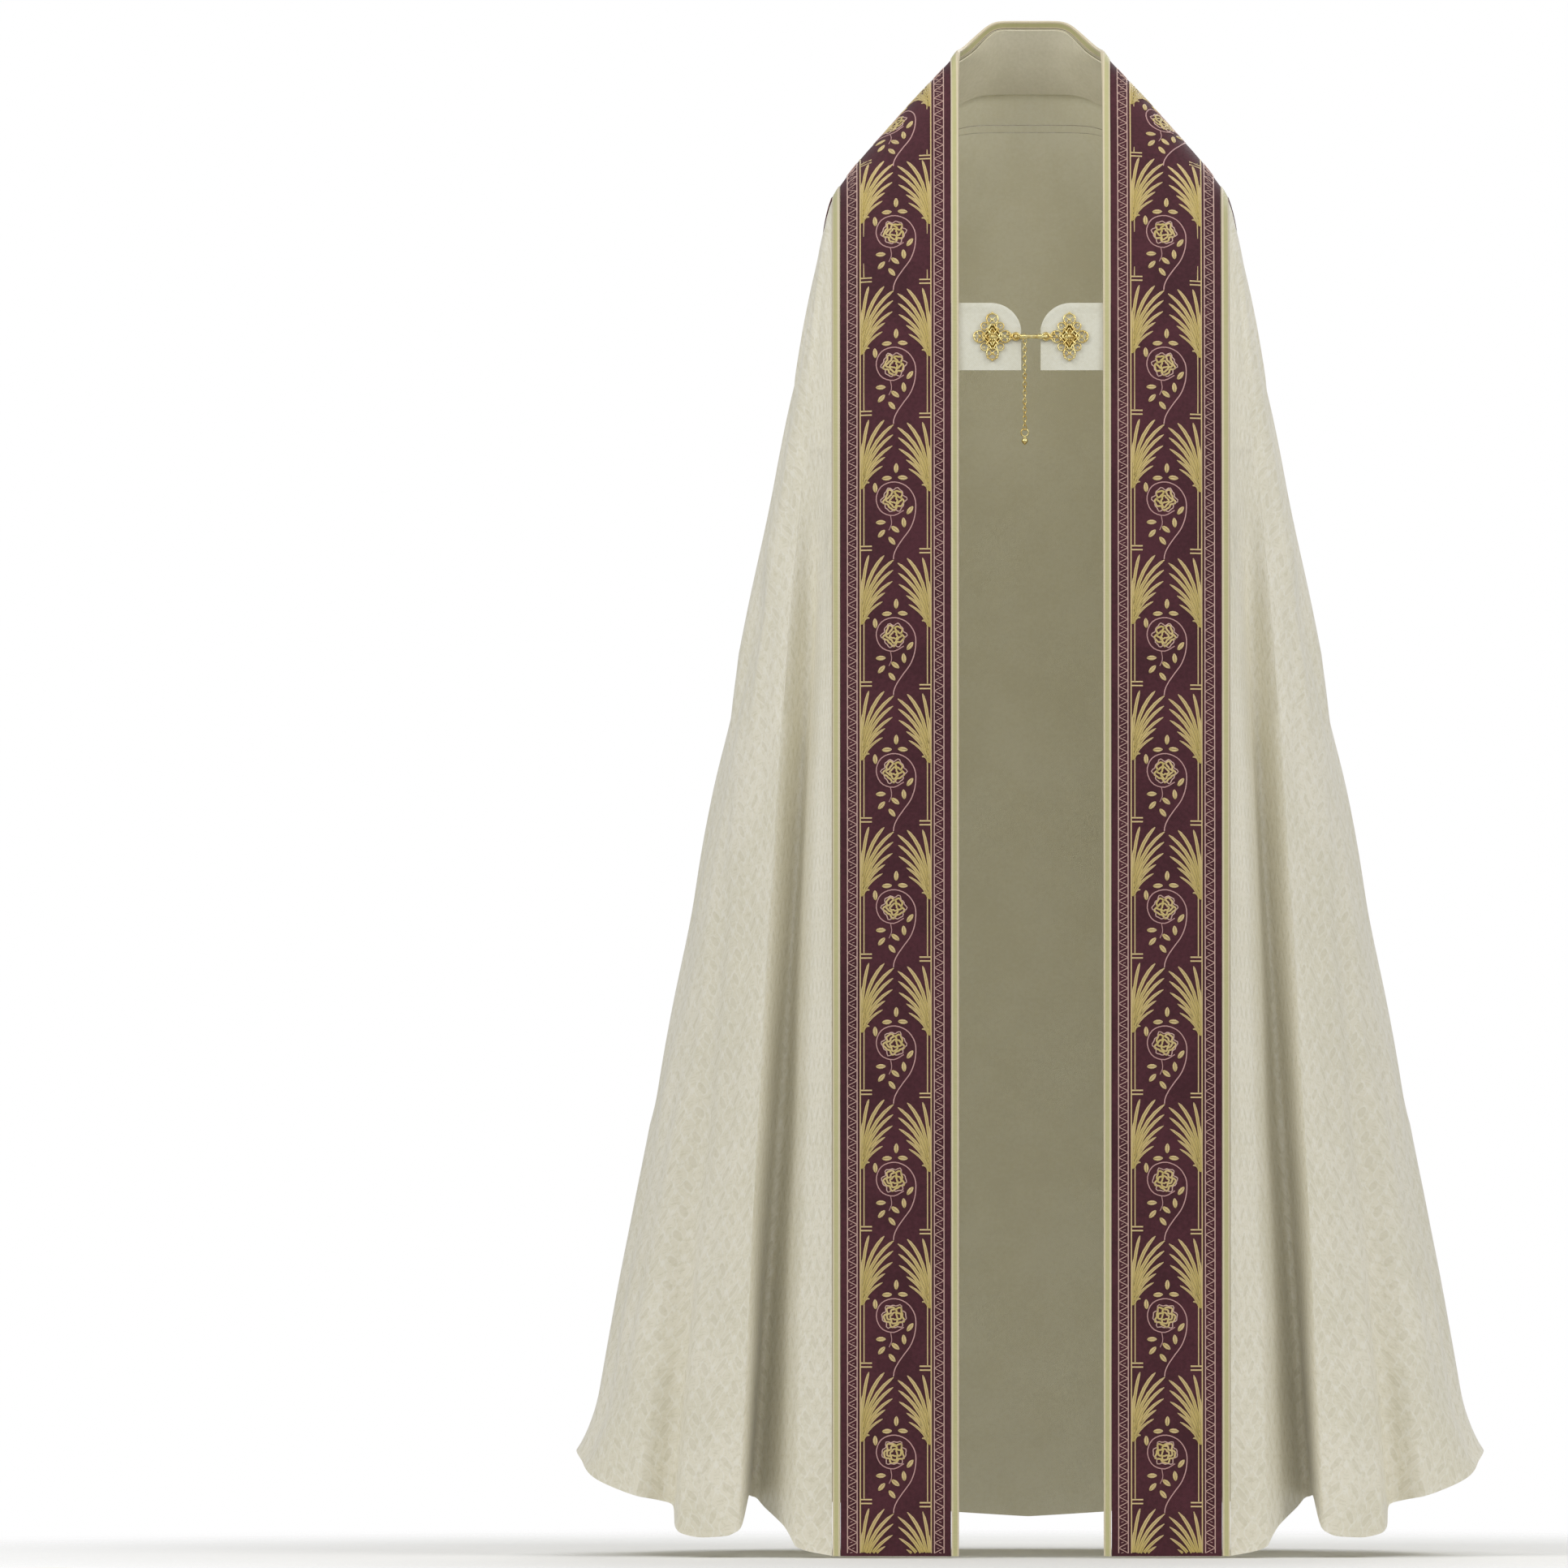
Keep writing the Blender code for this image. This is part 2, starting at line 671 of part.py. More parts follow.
def plate_outline(sign):
    """Quatrefoil with a neck towards the middle of the clasp."""
    middle = PLATE_STEPS // 2
    points = []
    for k in range(PLATE_STEPS):
        angle = 2 * math.pi * k / PLATE_STEPS
        lobe = LOBE_MEAN + LOBE_FOUR * math.cos(4 * angle) + LOBE_EIGHT * math.cos(8 * angle)
        x = PLATE_X + PLATE_HALF_WIDE * lobe * math.cos(angle)
        z = PLATE_HALF_TALL * lobe * math.sin(angle)
        if abs(k - middle) <= 1:
            x = NECK_REACH
            z = NECK_HALF * (middle - k)
        points.append((sign * x, z))
    return points


def build_plates(material, collection):
    """Gold plates that lean as the tabs under them do. Gives back where their front face is."""
    heights = np.array([PLATE_Z - PLATE_HALF_TALL, PLATE_Z, PLATE_Z + PLATE_HALF_TALL])
    low, face, high = tab_face(np.full(3, FRONT_EDGE), heights)
    lean = math.atan((high - low) / (2 * PLATE_HALF_TALL))
    for name, sign in (("clasp_plate_right", 1), ("clasp_plate_left", -1)):
        curve = bpy.data.curves.new(name, "CURVE")
        curve.dimensions = "2D"
        curve.fill_mode = "BOTH"
        curve.extrude = PLATE_THICK / 2
        outline = plate_outline(sign)
        spline = curve.splines.new("POLY")
        spline.points.add(len(outline) - 1)
        for point, (x, z) in zip(spline.points, outline):
            point.co = (x, z, 0, 1)
        spline.use_cyclic_u = True
        obj = add_object(name, curve, material, collection)
        obj.location = (0, face - SEAM_GAP - PLATE_THICK / 2, PLATE_Z - HOLD_HEIGHT)
        obj.rotation_euler.x = math.pi / 2 - lean
    return face - SEAM_GAP - PLATE_THICK


def turned(name, profile, material, collection):
    """Solid turned round its vertical axis from a profile of (radius, height), top to bottom."""
    mesh = bpy.data.meshes.new(name)
    points = [(radius, 0, height) for radius, height in profile]
    mesh.from_pydata(points, [(k, k + 1) for k in range(len(points) - 1)], [])
    obj = add_object(name, mesh, material, collection)
    screw = obj.modifiers.new("Turn", "SCREW")
    screw.steps = TURN_STEPS
    screw.render_steps = TURN_STEPS
    screw.use_merge_vertices = True
    screw.merge_threshold = 1e-5
    return obj


def build_bar(face, material, collection):
    """Hook bar across the two necks of the plates, with a ball at each end. Gives back its place."""
    y = face - SEAM_GAP - BAR_BALL
    profile = [(0, BAR_HALF_LENGTH)]
    for k in range(1, BALL_STEPS):
        angle = math.pi * k / BALL_STEPS
        profile.append((BAR_BALL * math.sin(angle), BAR_HALF_LENGTH - BAR_BALL * (1 - math.cos(angle))))
    profile.append((BAR_RADIUS, BAR_HALF_LENGTH - BAR_NECK))
    mirrored = [(radius, -height) for radius, height in profile[::-1]]
    bar = turned("clasp_hook", profile + mirrored, material, collection)
    bar.location = (0, y, PLATE_Z - HOLD_HEIGHT)
    bar.rotation_euler.y = math.pi / 2
    return y


def build_chain_links(holder, material, collection):
    """Chain as one body: it swells to one side at each link, and to the other side at the next."""
    swell = CHAIN_WIDE - CHAIN_NARROW
    bm = bmesh.new()
    loops = []
    for k in range(CHAIN_STEPS * CHAIN_LINKS + 1):
        half_turn = k / CHAIN_STEPS * math.pi
        wide = CHAIN_NARROW + swell * abs(math.sin(half_turn))
        deep = CHAIN_NARROW + swell * abs(math.cos(half_turn))
        z = -CHAIN_RING - k * CHAIN_LINK / CHAIN_STEPS
        turn = [2 * math.pi * (j + 0.5) / CHAIN_SIDES for j in range(CHAIN_SIDES)]
        loops.append([bm.verts.new((wide * math.cos(a), deep * math.sin(a), z)) for a in turn])
    for upper, lower in zip(loops[:-1], loops[1:]):
        for j in range(CHAIN_SIDES):
            i = (j + 1) % CHAIN_SIDES
            bm.faces.new([upper[i], upper[j], lower[j], lower[i]])
    bm.faces.new(loops[0])
    bm.faces.new(loops[-1][::-1])
    mesh = bpy.data.meshes.new("clasp_chain")
    bm.to_mesh(mesh)
    bm.free()
    chain = add_object("clasp_chain", mesh, material, collection)
    chain.parent = holder
    return chain


def build_chain_ring(holder, chain, tools):
    """Ring at the top of the chain, joined to it by a Boolean."""
    bpy.ops.mesh.primitive_torus_add(
        major_radius=CHAIN_RING,
        minor_radius=CHAIN_RING_WIRE,
        major_segments=RING_STEPS,
        minor_segments=WIRE_STEPS,
        rotation=(0, math.pi / 2, 0),
    )
    ring = bpy.context.object
    ring.name = "chain_ring_tool"
    for other in list(ring.users_collection):
        other.objects.unlink(ring)
    tools.objects.link(ring)
    ring.parent = holder
    ring.hide_render = True
    ring.display_type = "WIRE"
    union = chain.modifiers.new("Ring", "BOOLEAN")
    union.operation = "UNION"
    union.object = ring


def build_drop(holder, material, collection):
    """Drop under the last link."""
    top = -CHAIN_RING - CHAIN_LINKS * CHAIN_LINK - SEAM_GAP
    profile = [(0, top)]
    for k in range(1, DROP_ROWS):
        share = k / DROP_ROWS
        radius = DROP_RADIUS * math.sin(math.pi * share**DROP_BELLY)
        profile.append((max(radius, DROP_NECK), top - DROP_LENGTH * share))
    profile.append((0, top - DROP_LENGTH))
    drop = turned("clasp_drop", profile, material, collection)
    drop.parent = holder


def build_chain(bar_y, material, collection, tools):
    """Chain that hangs from the bar by its ring, round which it swings, and its end drop."""
    holder = bpy.data.objects.new("chain_pivot", None)
    holder.location = (CHAIN_X, bar_y, PLATE_Z - HOLD_HEIGHT)
    collection.objects.link(holder)
    chain = build_chain_links(holder, material, collection)
    build_chain_ring(holder, chain, tools)
    build_drop(holder, material, collection)


def main():
    clear_scene()
    collection = bpy.data.collections.new("cope")
    tools = bpy.data.collections.new("cope_tools")
    bpy.context.scene.collection.children.link(collection)
    bpy.context.scene.collection.children.link(tools)
    ivory = make_material("ivory_brocade", IVORY, 0.6)
    lining = make_material("neck_lining", LINING, 0.8)
    burgundy = make_material("burgundy_cloth", BURGUNDY, 0.75)
    pale_gold = make_material("pale_gold_binding", PALE_GOLD, 0.5)
    gold = make_material("gold_metal", GOLD_METAL, 0.25, 1.0)
    build_cloak(ivory, collection)
    build_bands(burgundy, pale_gold, collection)
    build_facing(lining, collection)
    build_hood(burgundy, collection)
    build_tabs(ivory, collection)
    plate_face = build_plates(gold, collection)
    bar_y = build_bar(plate_face, gold, collection)
    build_chain(bar_y, gold, collection, tools)


main()
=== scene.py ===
"""Looks of the cope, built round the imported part.

Metres. As in the part, the tables and surface functions take heights above the front hem, and set_mesh
lowers every piece by HOLD_HEIGHT to the frame, whose origin is where the wearer's shoulders carry the cloth.
"""

import math
from collections import namedtuple

import bmesh
import bpy
import numpy as np
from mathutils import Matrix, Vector


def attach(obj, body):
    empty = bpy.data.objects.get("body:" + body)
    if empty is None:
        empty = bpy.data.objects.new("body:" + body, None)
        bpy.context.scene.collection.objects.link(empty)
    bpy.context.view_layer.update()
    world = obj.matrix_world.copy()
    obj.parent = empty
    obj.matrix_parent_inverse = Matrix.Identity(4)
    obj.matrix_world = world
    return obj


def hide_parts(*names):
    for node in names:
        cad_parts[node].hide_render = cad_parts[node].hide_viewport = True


# Cloth and seams, as in the part
HOLD_HEIGHT = 1.400
CLOTH = 0.002
SEAM_GAP = 0.0003
CLOAK_GAP = 0.0007
FRONT_EDGE = 0.0707
BINDING = 0.0072
BAND = 0.1088
STRIP = BINDING + BAND + BINDING
STRIP_LENGTH = 1.630
BINDING_LIFT = 0.0008
BINDING_THICK = 0.0030
BAND_CLEAR = 0.0006
NECK_TOP = 1.503
NECK_FLAT = 0.46
NECK_SOFTNESS = 8
TURN_TALL = 0.060

# Rings of the cloak: half width, and the front, side and back places along Y
Section = namedtuple("Section", "height half_width front side back")
SECTIONS = (
    Section(0.000, 0.452, -0.205, 0.035, 0.320),
    Section(0.187, 0.419, -0.197, 0.032, 0.300),
    Section(0.498, 0.360, -0.182, 0.026, 0.262),
    Section(0.806, 0.302, -0.165, 0.020, 0.228),
    Section(1.015, 0.261, -0.150, 0.015, 0.203),
    Section(1.131, 0.238, -0.138, 0.012, 0.190),
    Section(1.255, 0.213, -0.116, 0.008, 0.172),
    Section(1.309, 0.2005, -0.100, 0.005, 0.158),
    Section(1.334, 0.190, -0.091, 0.003, 0.151),
    Section(1.405, 0.1318, -0.060, 0.000, 0.126),
    Section(1.460, 0.0812, -0.031, 0.000, 0.096),
    Section(1.470, 0.0724, -0.027, 0.000, 0.091),
    Section(1.478, 0.0692, -0.025, 0.000, 0.086),
    Section(1.520, 0.0690, -0.024, 0.000, 0.060),
)
FRONT_ROUND = 2.7
BACK_ROUND = 2.2

# Main folds, as in the part
Fold = namedtuple("Fold", "name place_top place_hem width_top width_hem depth slide start growth")
FOLDS = (
    Fold("strip beside the band", 0.030, 0.024, 0.020, 0.030, -0.007, 0.000, 0.95, 0.8),
    Fold("front valley", 0.062, 0.058, 0.021, 0.028, 0.105, 0.040, 1.08, 0.8),
    Fold("front lobe", 0.125, 0.118, 0.050, 0.060, -0.012, 0.000, 0.95, 1.0),
    Fold("lobe recess", 0.205, 0.192, 0.030, 0.030, 0.030, 0.006, 0.72, 1.2),
    Fold("side recess", 0.460, 0.500, 0.050, 0.060, 0.032, 0.000, 0.90, 1.1),
    Fold("back edge recess", 0.720, 0.735, 0.040, 0.055, 0.030, 0.000, 0.86, 1.1),
    Fold("back panel crease", 0.845, 0.835, 0.030, 0.042, 0.036, 0.000, 0.93, 0.8),
)

# Small creases of the cloth: from one ring place and height to another, half width and depth
Crease = namedtuple("Crease", "place height place_low height_low width depth")
CREASES = (
    Crease(0.006, 1.016, 0.052, 0.962, 0.013, 0.0060),
    Crease(0.004, 0.978, 0.046, 0.925, 0.012, 0.0052),
    Crease(0.004, 0.940, 0.036, 0.905, 0.010, 0.0034),
    Crease(0.030, 1.160, 0.046, 1.030, 0.018, 0.0030),
    Crease(0.100, 1.150, 0.085, 0.800, 0.026, 0.0040),
    Crease(0.165, 1.060, 0.150, 0.560, 0.030, 0.0034),
    Crease(0.150, 0.520, 0.143, 0.090, 0.018, 0.0036),
    Crease(0.245, 0.980, 0.232, 0.180, 0.036, 0.0060),
    Crease(0.300, 1.200, 0.322, 0.120, 0.040, 0.0070),
    Crease(0.372, 0.880, 0.380, 0.100, 0.034, 0.0056),
    Crease(0.425, 1.180, 0.430, 0.420, 0.032, 0.0040),
    Crease(0.560, 0.900, 0.575, 0.110, 0.036, 0.0060),
    Crease(0.655, 0.860, 0.672, 0.080, 0.030, 0.0064),
    Crease(0.700, 0.600, 0.706, 0.070, 0.020, 0.0040),
    Crease(0.780, 0.820, 0.792, 0.060, 0.026, 0.0050),
    Crease(0.885, 0.700, 0.880, 0.050, 0.024, 0.0026),
    Crease(0.940, 0.560, 0.950, 0.045, 0.040, 0.0034),
    Crease(0.985, 0.820, 0.975, 0.300, 0.030, 0.0020),
)
CREASE_FADE = 0.12
PUCKER_REACH = 0.020
PUCKER_DEPTH = 0.0016
PUCKER_PITCH = 0.034

# Hem: its height round the ring, as in the part
Hem = namedtuple("Hem", "place height")
HEM = (
    Hem(0.000, 0.000),
    Hem(0.030, 0.009),
    Hem(0.040, 0.030),
    Hem(0.050, 0.045),
    Hem(0.060, 0.056),
    Hem(0.070, 0.058),
    Hem(0.084, 0.026),
    Hem(0.100, 0.019),
    Hem(0.125, 0.018),
    Hem(0.150, 0.021),
    Hem(0.168, 0.029),
    Hem(0.186, 0.048),
    Hem(0.205, 0.053),
    Hem(0.250, 0.061),
    Hem(0.320, 0.075),
    Hem(0.380, 0.092),
    Hem(0.440, 0.101),
    Hem(0.520, 0.090),
    Hem(0.630, 0.068),
    Hem(0.835, 0.046),
    Hem(1.000, 0.030),
)
FLARE_PLACE = 0.40
FLARE_REACH = 0.22
FLARE_OUT = 0.012
FLARE_TALL = 0.060
SeamAt = namedtuple("SeamAt", "height place")
SIDE_SEAM = (
    SeamAt(0.000, 0.630),
    SeamAt(0.630, 0.578),
    SeamAt(1.334, 0.416),
    SeamAt(1.450, 0.410),
)

# Hood and facing, as in the part
HOOD_HALF_WIDTH = 0.2405
HOOD_BORDER = 0.087
HOOD_LOWER_BORDER = 0.081
HOOD_CORNER = 1.033
HOOD_TIP = 0.902
HOOD_LIFT_TOP = 0.0009
HOOD_LIFT_LOW = 0.0045
HOOD_SPRING = 1.40
HOOD_SPRING_TALL = 0.10
FACING_THICK = 0.0012
FACING_CLEAR = 0.0022
FACING_EDGE = 0.0795
FACING_START = 1.5062

# Clasp, as in the part
TAB_INNER = 0.0095
TAB_OUTER = 0.0860
TAB_LOW = 1.158
TAB_HIGH = 1.224
TAB_CORNER = 0.030
TAB_CORNER_SHARE = 0.97
TAB_THICK = 0.0030
TAB_CLEAR = 0.0006
PLATE_X = 0.0377
PLATE_Z = 1.191
PLATE_HALF_WIDE = 0.0172
PLATE_HALF_TALL = 0.0230
PLATE_THICK = 0.0016
NECK_REACH = 0.0125
BAR_RADIUS = 0.0012
BAR_BALL = 0.0018
BAR_HALF_LENGTH = 0.0165
CHAIN_X = -0.0060
CHAIN_RING = 0.0026
CHAIN_LINK = 0.0042
CHAIN_LINKS = 21

# Mesh fineness
Stretch = namedtuple("Stretch", "end steps")
FRONT_STRETCHES = (
    Stretch(0.028, 11),
    Stretch(0.041, 8),
    Stretch(0.057, 9),
    Stretch(0.073, 9),
    Stretch(0.088, 8),
    Stretch(0.150, 16),
    Stretch(0.212, 18),
    Stretch(0.340, 22),
)
FRONT_COLUMNS = 40
BACK_COLUMNS = 96
CLOAK_ROWS = 150
ROW_EVENNESS = 1.25
ROW_CROWDING = 1.45
ROW_CROWDING_FADE = 0.06
ROW_STRETCH = 0.3
STRIP_ROWS = 24
STRIP_COLUMNS = 816
FINE = 521
MIDDLING = 240
COARSE = 80

# Cut of the mantle: how far above the front hem the grain lines of a flared panel meet
CUT_APEX_FRONT = 2.25
CUT_APEX_BACK = 2.55

# Ornament of the bands, measured from the middle of the band and from the middle of a rose
PITCH = 0.13325
ROSES = [1.300 - PITCH * k for k in range(10)] + [1.4300, 1.5530]
EDGE_LINES = (0.0377, 0.0471)
FIELD_LINE = 0.0346
COLUMN_LINE = 0.0310
BAR_END = 0.0232
CROSS_PITCH = 0.0100
FAN_DROP = 0.003
Blade = namedtuple("Blade", "root_x root_y bend_x bend_y tip_x tip_y width")
BLADES = (
    Blade(-0.0325, 0.036, -0.0318, 0.062, -0.0262, 0.079, 0.0017),
    Blade(-0.0318, 0.030, -0.0275, 0.062, -0.0112, 0.0785, 0.0019),
    Blade(-0.0314, 0.025, -0.0255, 0.057, -0.0020, 0.0740, 0.0019),
    Blade(-0.0312, 0.020, -0.0250, 0.049, -0.0026, 0.0640, 0.0018),
    Blade(-0.0312, 0.016, -0.0258, 0.040, -0.0032, 0.0530, 0.0017),
    Blade(-0.0312, 0.014, -0.0275, 0.032, -0.0104, 0.0420, 0.0015),
    Blade(-0.0315, 0.012, -0.0285, 0.025, -0.0128, 0.0332, 0.0013),
    Blade(-0.0318, 0.012, -0.0295, 0.019, -0.0255, 0.0170, 0.0010),
    Blade(-0.0331, 0.011, -0.0331, 0.034, -0.0326, 0.0560, 0.0016),
)
Leaf = namedtuple("Leaf", "x y angle")
LEAVES = (
    Leaf(0.0005, 0.0310, 88),
    Leaf(-0.0085, 0.0212, 4),
    Leaf(0.0070, 0.0215, -6),
    Leaf(-0.0200, 0.0120, 94),
    Leaf(0.0140, -0.0105, 52),
    Leaf(0.0080, -0.0225, 96),
    Leaf(-0.0145, -0.0222, 2),
    Leaf(-0.0003, -0.0292, -38),
    Leaf(-0.0138, -0.0332, 48),
    Leaf(-0.0036, -0.0405, -50),
)
LEAF_LENGTH = 0.0096
LEAF_WIDTH = 0.0048
VINE = (
    (0.0080, -0.0105),
    (-0.0020, -0.0156),
    (-0.0135, -0.0120),
    (-0.0190, 0.0015),
    (-0.0140, 0.0130),
    (-0.0020, 0.0174),
    (0.0110, 0.0128),
    (0.0185, 0.0020),
    (0.0193, -0.0125),
    (0.0150, -0.0272),
    (0.0066, -0.0392),
    (0.0008, -0.0480),
    (-0.0018, -0.0545),
    (-0.0022, -0.0585),
)
SPRIG = ((-0.0050, -0.0158), (-0.0040, -0.0240), (-0.0066, -0.0300))
ROSE_RADIUS = 0.0122
STRETCH_FROM = -0.020

# Ornament of the hood: heights above the front hem, and lengths along a lower border from its point
HOOD_SLOPE = (HOOD_CORNER - HOOD_TIP) / HOOD_HALF_WIDTH
HOOD_STITCHED = 0.092
HOOD_LINES_OUT = (0.0033, 0.0112, 0.0142)
HOOD_LINES_IN = (0.0012, 0.0087, 0.0117)
HOOD_CROSS_PITCH = 0.0078
HOOD_SCALE = 0.80
LOW_SCALE = 0.846
HOOD_ROSES = (1.3370, 1.2140)
HOOD_BARS = (1.2866, 1.1547)
HOOD_LAST_FANS = 1.0810
LOW_ROSE = 0.0823
LOW_BARS = 0.1560
LOW_CORNER_ROSE = 0.2400
SIDE_VINE = 1.55
LOW_VINE = 1.3
CORNER_VINE = 2.1
MEDAL_HEIGHT = 1.2100
MEDAL_WIDE = 0.0766
MEDAL_TALL = 0.1075
MEDAL_CROSS = 0.0390

# Camera, from the photograph: its square frame spans FRAME_WIDE at the plane of the cloak's front
FRAME_WIDE = 1.534
FRAME_CENTRE = (-0.2414, -0.6465)
FRAME_PLANE = -0.10
CAMERA_AWAY = 40.0
SENSOR = 36.0

# Lights, all square and aimed at AIM, and how strongly the white surroundings light the cope
Light = namedtuple("Light", "name place size power colour")
LIGHTS = (
    Light("key_left", (-2.0, -1.3, 1.3), 1.4, 28, (1.0, 0.99, 0.95)),
    Light("key_right", (2.0, -1.3, 1.3), 1.4, 26, (1.0, 0.99, 0.96)),
    Light("front", (0.2, -2.6, 1.6), 1.4, 9, (0.99, 0.99, 1.0)),
    Light("back", (0.9, 4.2, 1.9), 2.6, 62, (1.0, 1.0, 1.0)),
)
AIM = (0, 0, -0.40)
SURROUNDINGS = 0.45
FLOOR_RADIUS = 1.5
FLOOR_GAP = 0.002

MIRROR_X = np.array([-1, 1, 1])

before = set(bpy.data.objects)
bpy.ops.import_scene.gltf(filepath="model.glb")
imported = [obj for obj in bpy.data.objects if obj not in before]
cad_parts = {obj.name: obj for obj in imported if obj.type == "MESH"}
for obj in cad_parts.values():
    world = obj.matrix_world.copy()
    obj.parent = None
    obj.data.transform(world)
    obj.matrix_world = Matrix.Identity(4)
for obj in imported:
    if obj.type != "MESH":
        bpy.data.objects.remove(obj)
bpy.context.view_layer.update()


def monotone(xs, ys, at):
    """Smooth curve through (xs, ys) that never overshoots a row of its table."""
    xs = np.asarray(xs, float)
    ys = np.asarray(ys, float)
    step = np.diff(xs)
    slope = np.diff(ys) / step
    rising = slope[:-1] * slope[1:] > 0
    total = np.where(rising, slope[:-1] + slope[1:], 1.0)
    inner = np.where(rising, 2 * slope[:-1] * slope[1:] / total, 0.0)
    tangent = np.concatenate([slope[:1], inner, slope[-1:]])
    at = np.clip(at, xs[0], xs[-1])
    i = np.clip(np.searchsorted(xs, at) - 1, 0, len(step) - 1)
    t = (at - xs[i]) / step[i]
    rise = (ys[i + 1] - ys[i]) * (3 * t**2 - 2 * t**3)
    lean = step[i] * (tangent[i] * (t - 2 * t**2 + t**3) + tangent[i + 1] * (t**3 - t**2))
    return ys[i] + rise + lean


def table(rows, column, at):
    """Value of a table's column, between its rows, which run by their first column."""
    return monotone([row[0] for row in rows], [getattr(row, column) for row in rows], at)


def lengths(line):
    """Length along a line of points, up to each of them."""
    return np.concatenate([[0], np.cumsum(np.linalg.norm(np.diff(line, axis=0), axis=1))])


def at_lengths(line, run, along):
    """Points of a line at some lengths along it."""
    return np.stack([np.interp(along, run, line[:, k]) for k in range(line.shape[1])], -1)


def subdivided(start, stretches):
    """Values from the start on, with each stretch's number of equal steps up to its end."""
    values = [start]
    for end, steps in stretches:
        low = values[-1]
        values += [low + (end - low) * k / steps for k in range(1, steps + 1)]
    return np.array(values)


def half_width(height):
    return table(SECTIONS, "half_width", height)


def ring_point(angle, height):
    """Point of the smooth ring, and its outward direction in plan. Angle 0 is front, pi is back."""
    half = half_width(height)
    side = table(SECTIONS, "side", height)
    forward = angle < math.pi / 2
    reach = np.where(forward, table(SECTIONS, "front", height), table(SECTIONS, "back", height)) - side
    exponent = np.where(forward, FRONT_ROUND, BACK_ROUND)
    across = np.clip(np.sin(angle), 0, 1) ** (2 / exponent)
    along = np.abs(np.cos(angle)) ** (2 / exponent)
    point = np.stack([half * across, side + reach * along, height + 0 * across], -1)
    out_x = across ** (exponent - 1) / half
    out_y = np.sign(reach) * along ** (exponent - 1) / np.maximum(np.abs(reach), 1e-6)
    size = np.hypot(out_x, out_y)
    return point, np.stack([out_x / size, out_y / size, 0 * size], -1)


def angle_of(x, height, exponent):
    return np.arcsin(np.clip(x / half_width(height), 0, 1) ** (exponent / 2))


def front_y(x, height):
    """Place along Y of the front of the ring."""
    return ring_point(angle_of(np.abs(x), height, FRONT_ROUND), np.asarray(height, float))[0][..., 1]


def place_angle(place, height):
    """Ring angle of a place between the band's edge (0) and the centre of the back (1)."""
    edge = angle_of(FRONT_EDGE + STRIP + CLOAK_GAP, height, FRONT_ROUND)
    return edge + (math.pi - edge) * place


def hem_height(place):
    return table(HEM, "height", place)


def seam_place(height):
    return np.interp(height, [row.height for row in SIDE_SEAM], [row.place for row in SIDE_SEAM])


def cloak_point(place, height):
    """Point on the outer face of the cloak, folds and hem flare included, as in the part."""
    place = np.asarray(place, float)
    height = np.asarray(height, float)
    point, outward = ring_point(place_angle(place, height), height)
    push = np.zeros(point.shape[:-1])
    slide = np.zeros(point.shape[:-1])
    for fold in FOLDS:
        down = np.clip((fold.start - height) / fold.start, 0, 1)
        centre_place = fold.place_top + (fold.place_hem - fold.place_top) * down
        width = fold.width_top + (fold.width_hem - fold.width_top) * down
        centre = ring_point(place_angle(centre_place, height), height)[0]
        away = np.hypot(*(point - centre)[..., :2].T).T / width
        share = down**fold.growth * np.cos(np.clip(away, 0, 1) * math.pi / 2) ** 2
        push -= fold.depth * share
        slide += fold.slide * share
    above = np.clip((height - hem_height(place)) / FLARE_TALL, 0, 1)
    near = np.clip(np.abs(place - FLARE_PLACE) / FLARE_REACH, 0, 1)
    push += FLARE_OUT * (1 - above) ** 2 * np.cos(near * math.pi / 2) ** 2
    backward = np.stack([-outward[..., 1], outward[..., 0], outward[..., 2]], -1)
    return point + outward * push[..., None] + backward * slide[..., None]


def neck_slope(across):
    """Share of the climb from the shoulder line (across 1) to the centre of the back (across 0)."""
    climb = (1 - across) / NECK_FLAT
    return 1 - np.log1p(np.exp(NECK_SOFTNESS * (1 - climb))) / NECK_SOFTNESS


def back_profile():
    """Distance down the centre of the back from the neck's edge, and the drop there."""
    drop = np.linspace(0, 0.30, MIDDLING)
    line = ring_point(np.full(MIDDLING, math.pi), NECK_TOP - drop)[0]
    return lengths(line), drop


def strip_line(w):
    """Points along the bands at the distance w from the front edge: front hem, shoulder, centre back."""
    x = FRONT_EDGE + w
    heights = np.linspace(1.0, SECTIONS[-1].height, FINE)
    ridge = np.interp(-x, -half_width(heights), heights)
    low = np.linspace(0, ridge - TURN_TALL, COARSE)
    near = ridge - TURN_TALL * np.linspace(1, 0, COARSE)[1:] ** FRONT_ROUND
    front_heights = np.concatenate([low, near])
    front = ring_point(angle_of(x, front_heights, FRONT_ROUND), front_heights)[0]
    turn = np.linspace(0, math.pi / 2, COARSE)[1:]
    climb = NECK_TOP - np.interp(w, *back_profile()) - ridge
    share = neck_slope(np.clip(np.cos(turn), 0, 1) ** (2 / BACK_ROUND))
    back = ring_point(math.pi / 2 + turn, ridge + climb * share)[0]
    return np.concatenate([front, back]), len(front)


def strip_table():
    """Grid of points over the bands: rows by distance from the front edge, columns by length."""
    widths = np.linspace(0, STRIP + 0.004, STRIP_ROWS)
    along = np.linspace(0, STRIP_LENGTH, STRIP_COLUMNS)
    rows = []
    for w in widths:
        line, ridge = strip_line(w)
        run = lengths(line)
        turn = run[ridge - 1]
        run[ridge:] = turn + (run[ridge:] - turn) * (STRIP_LENGTH - turn) / (run[-1] - turn)
        rows.append(at_lengths(line, run, along))
    return np.array(rows), widths, along


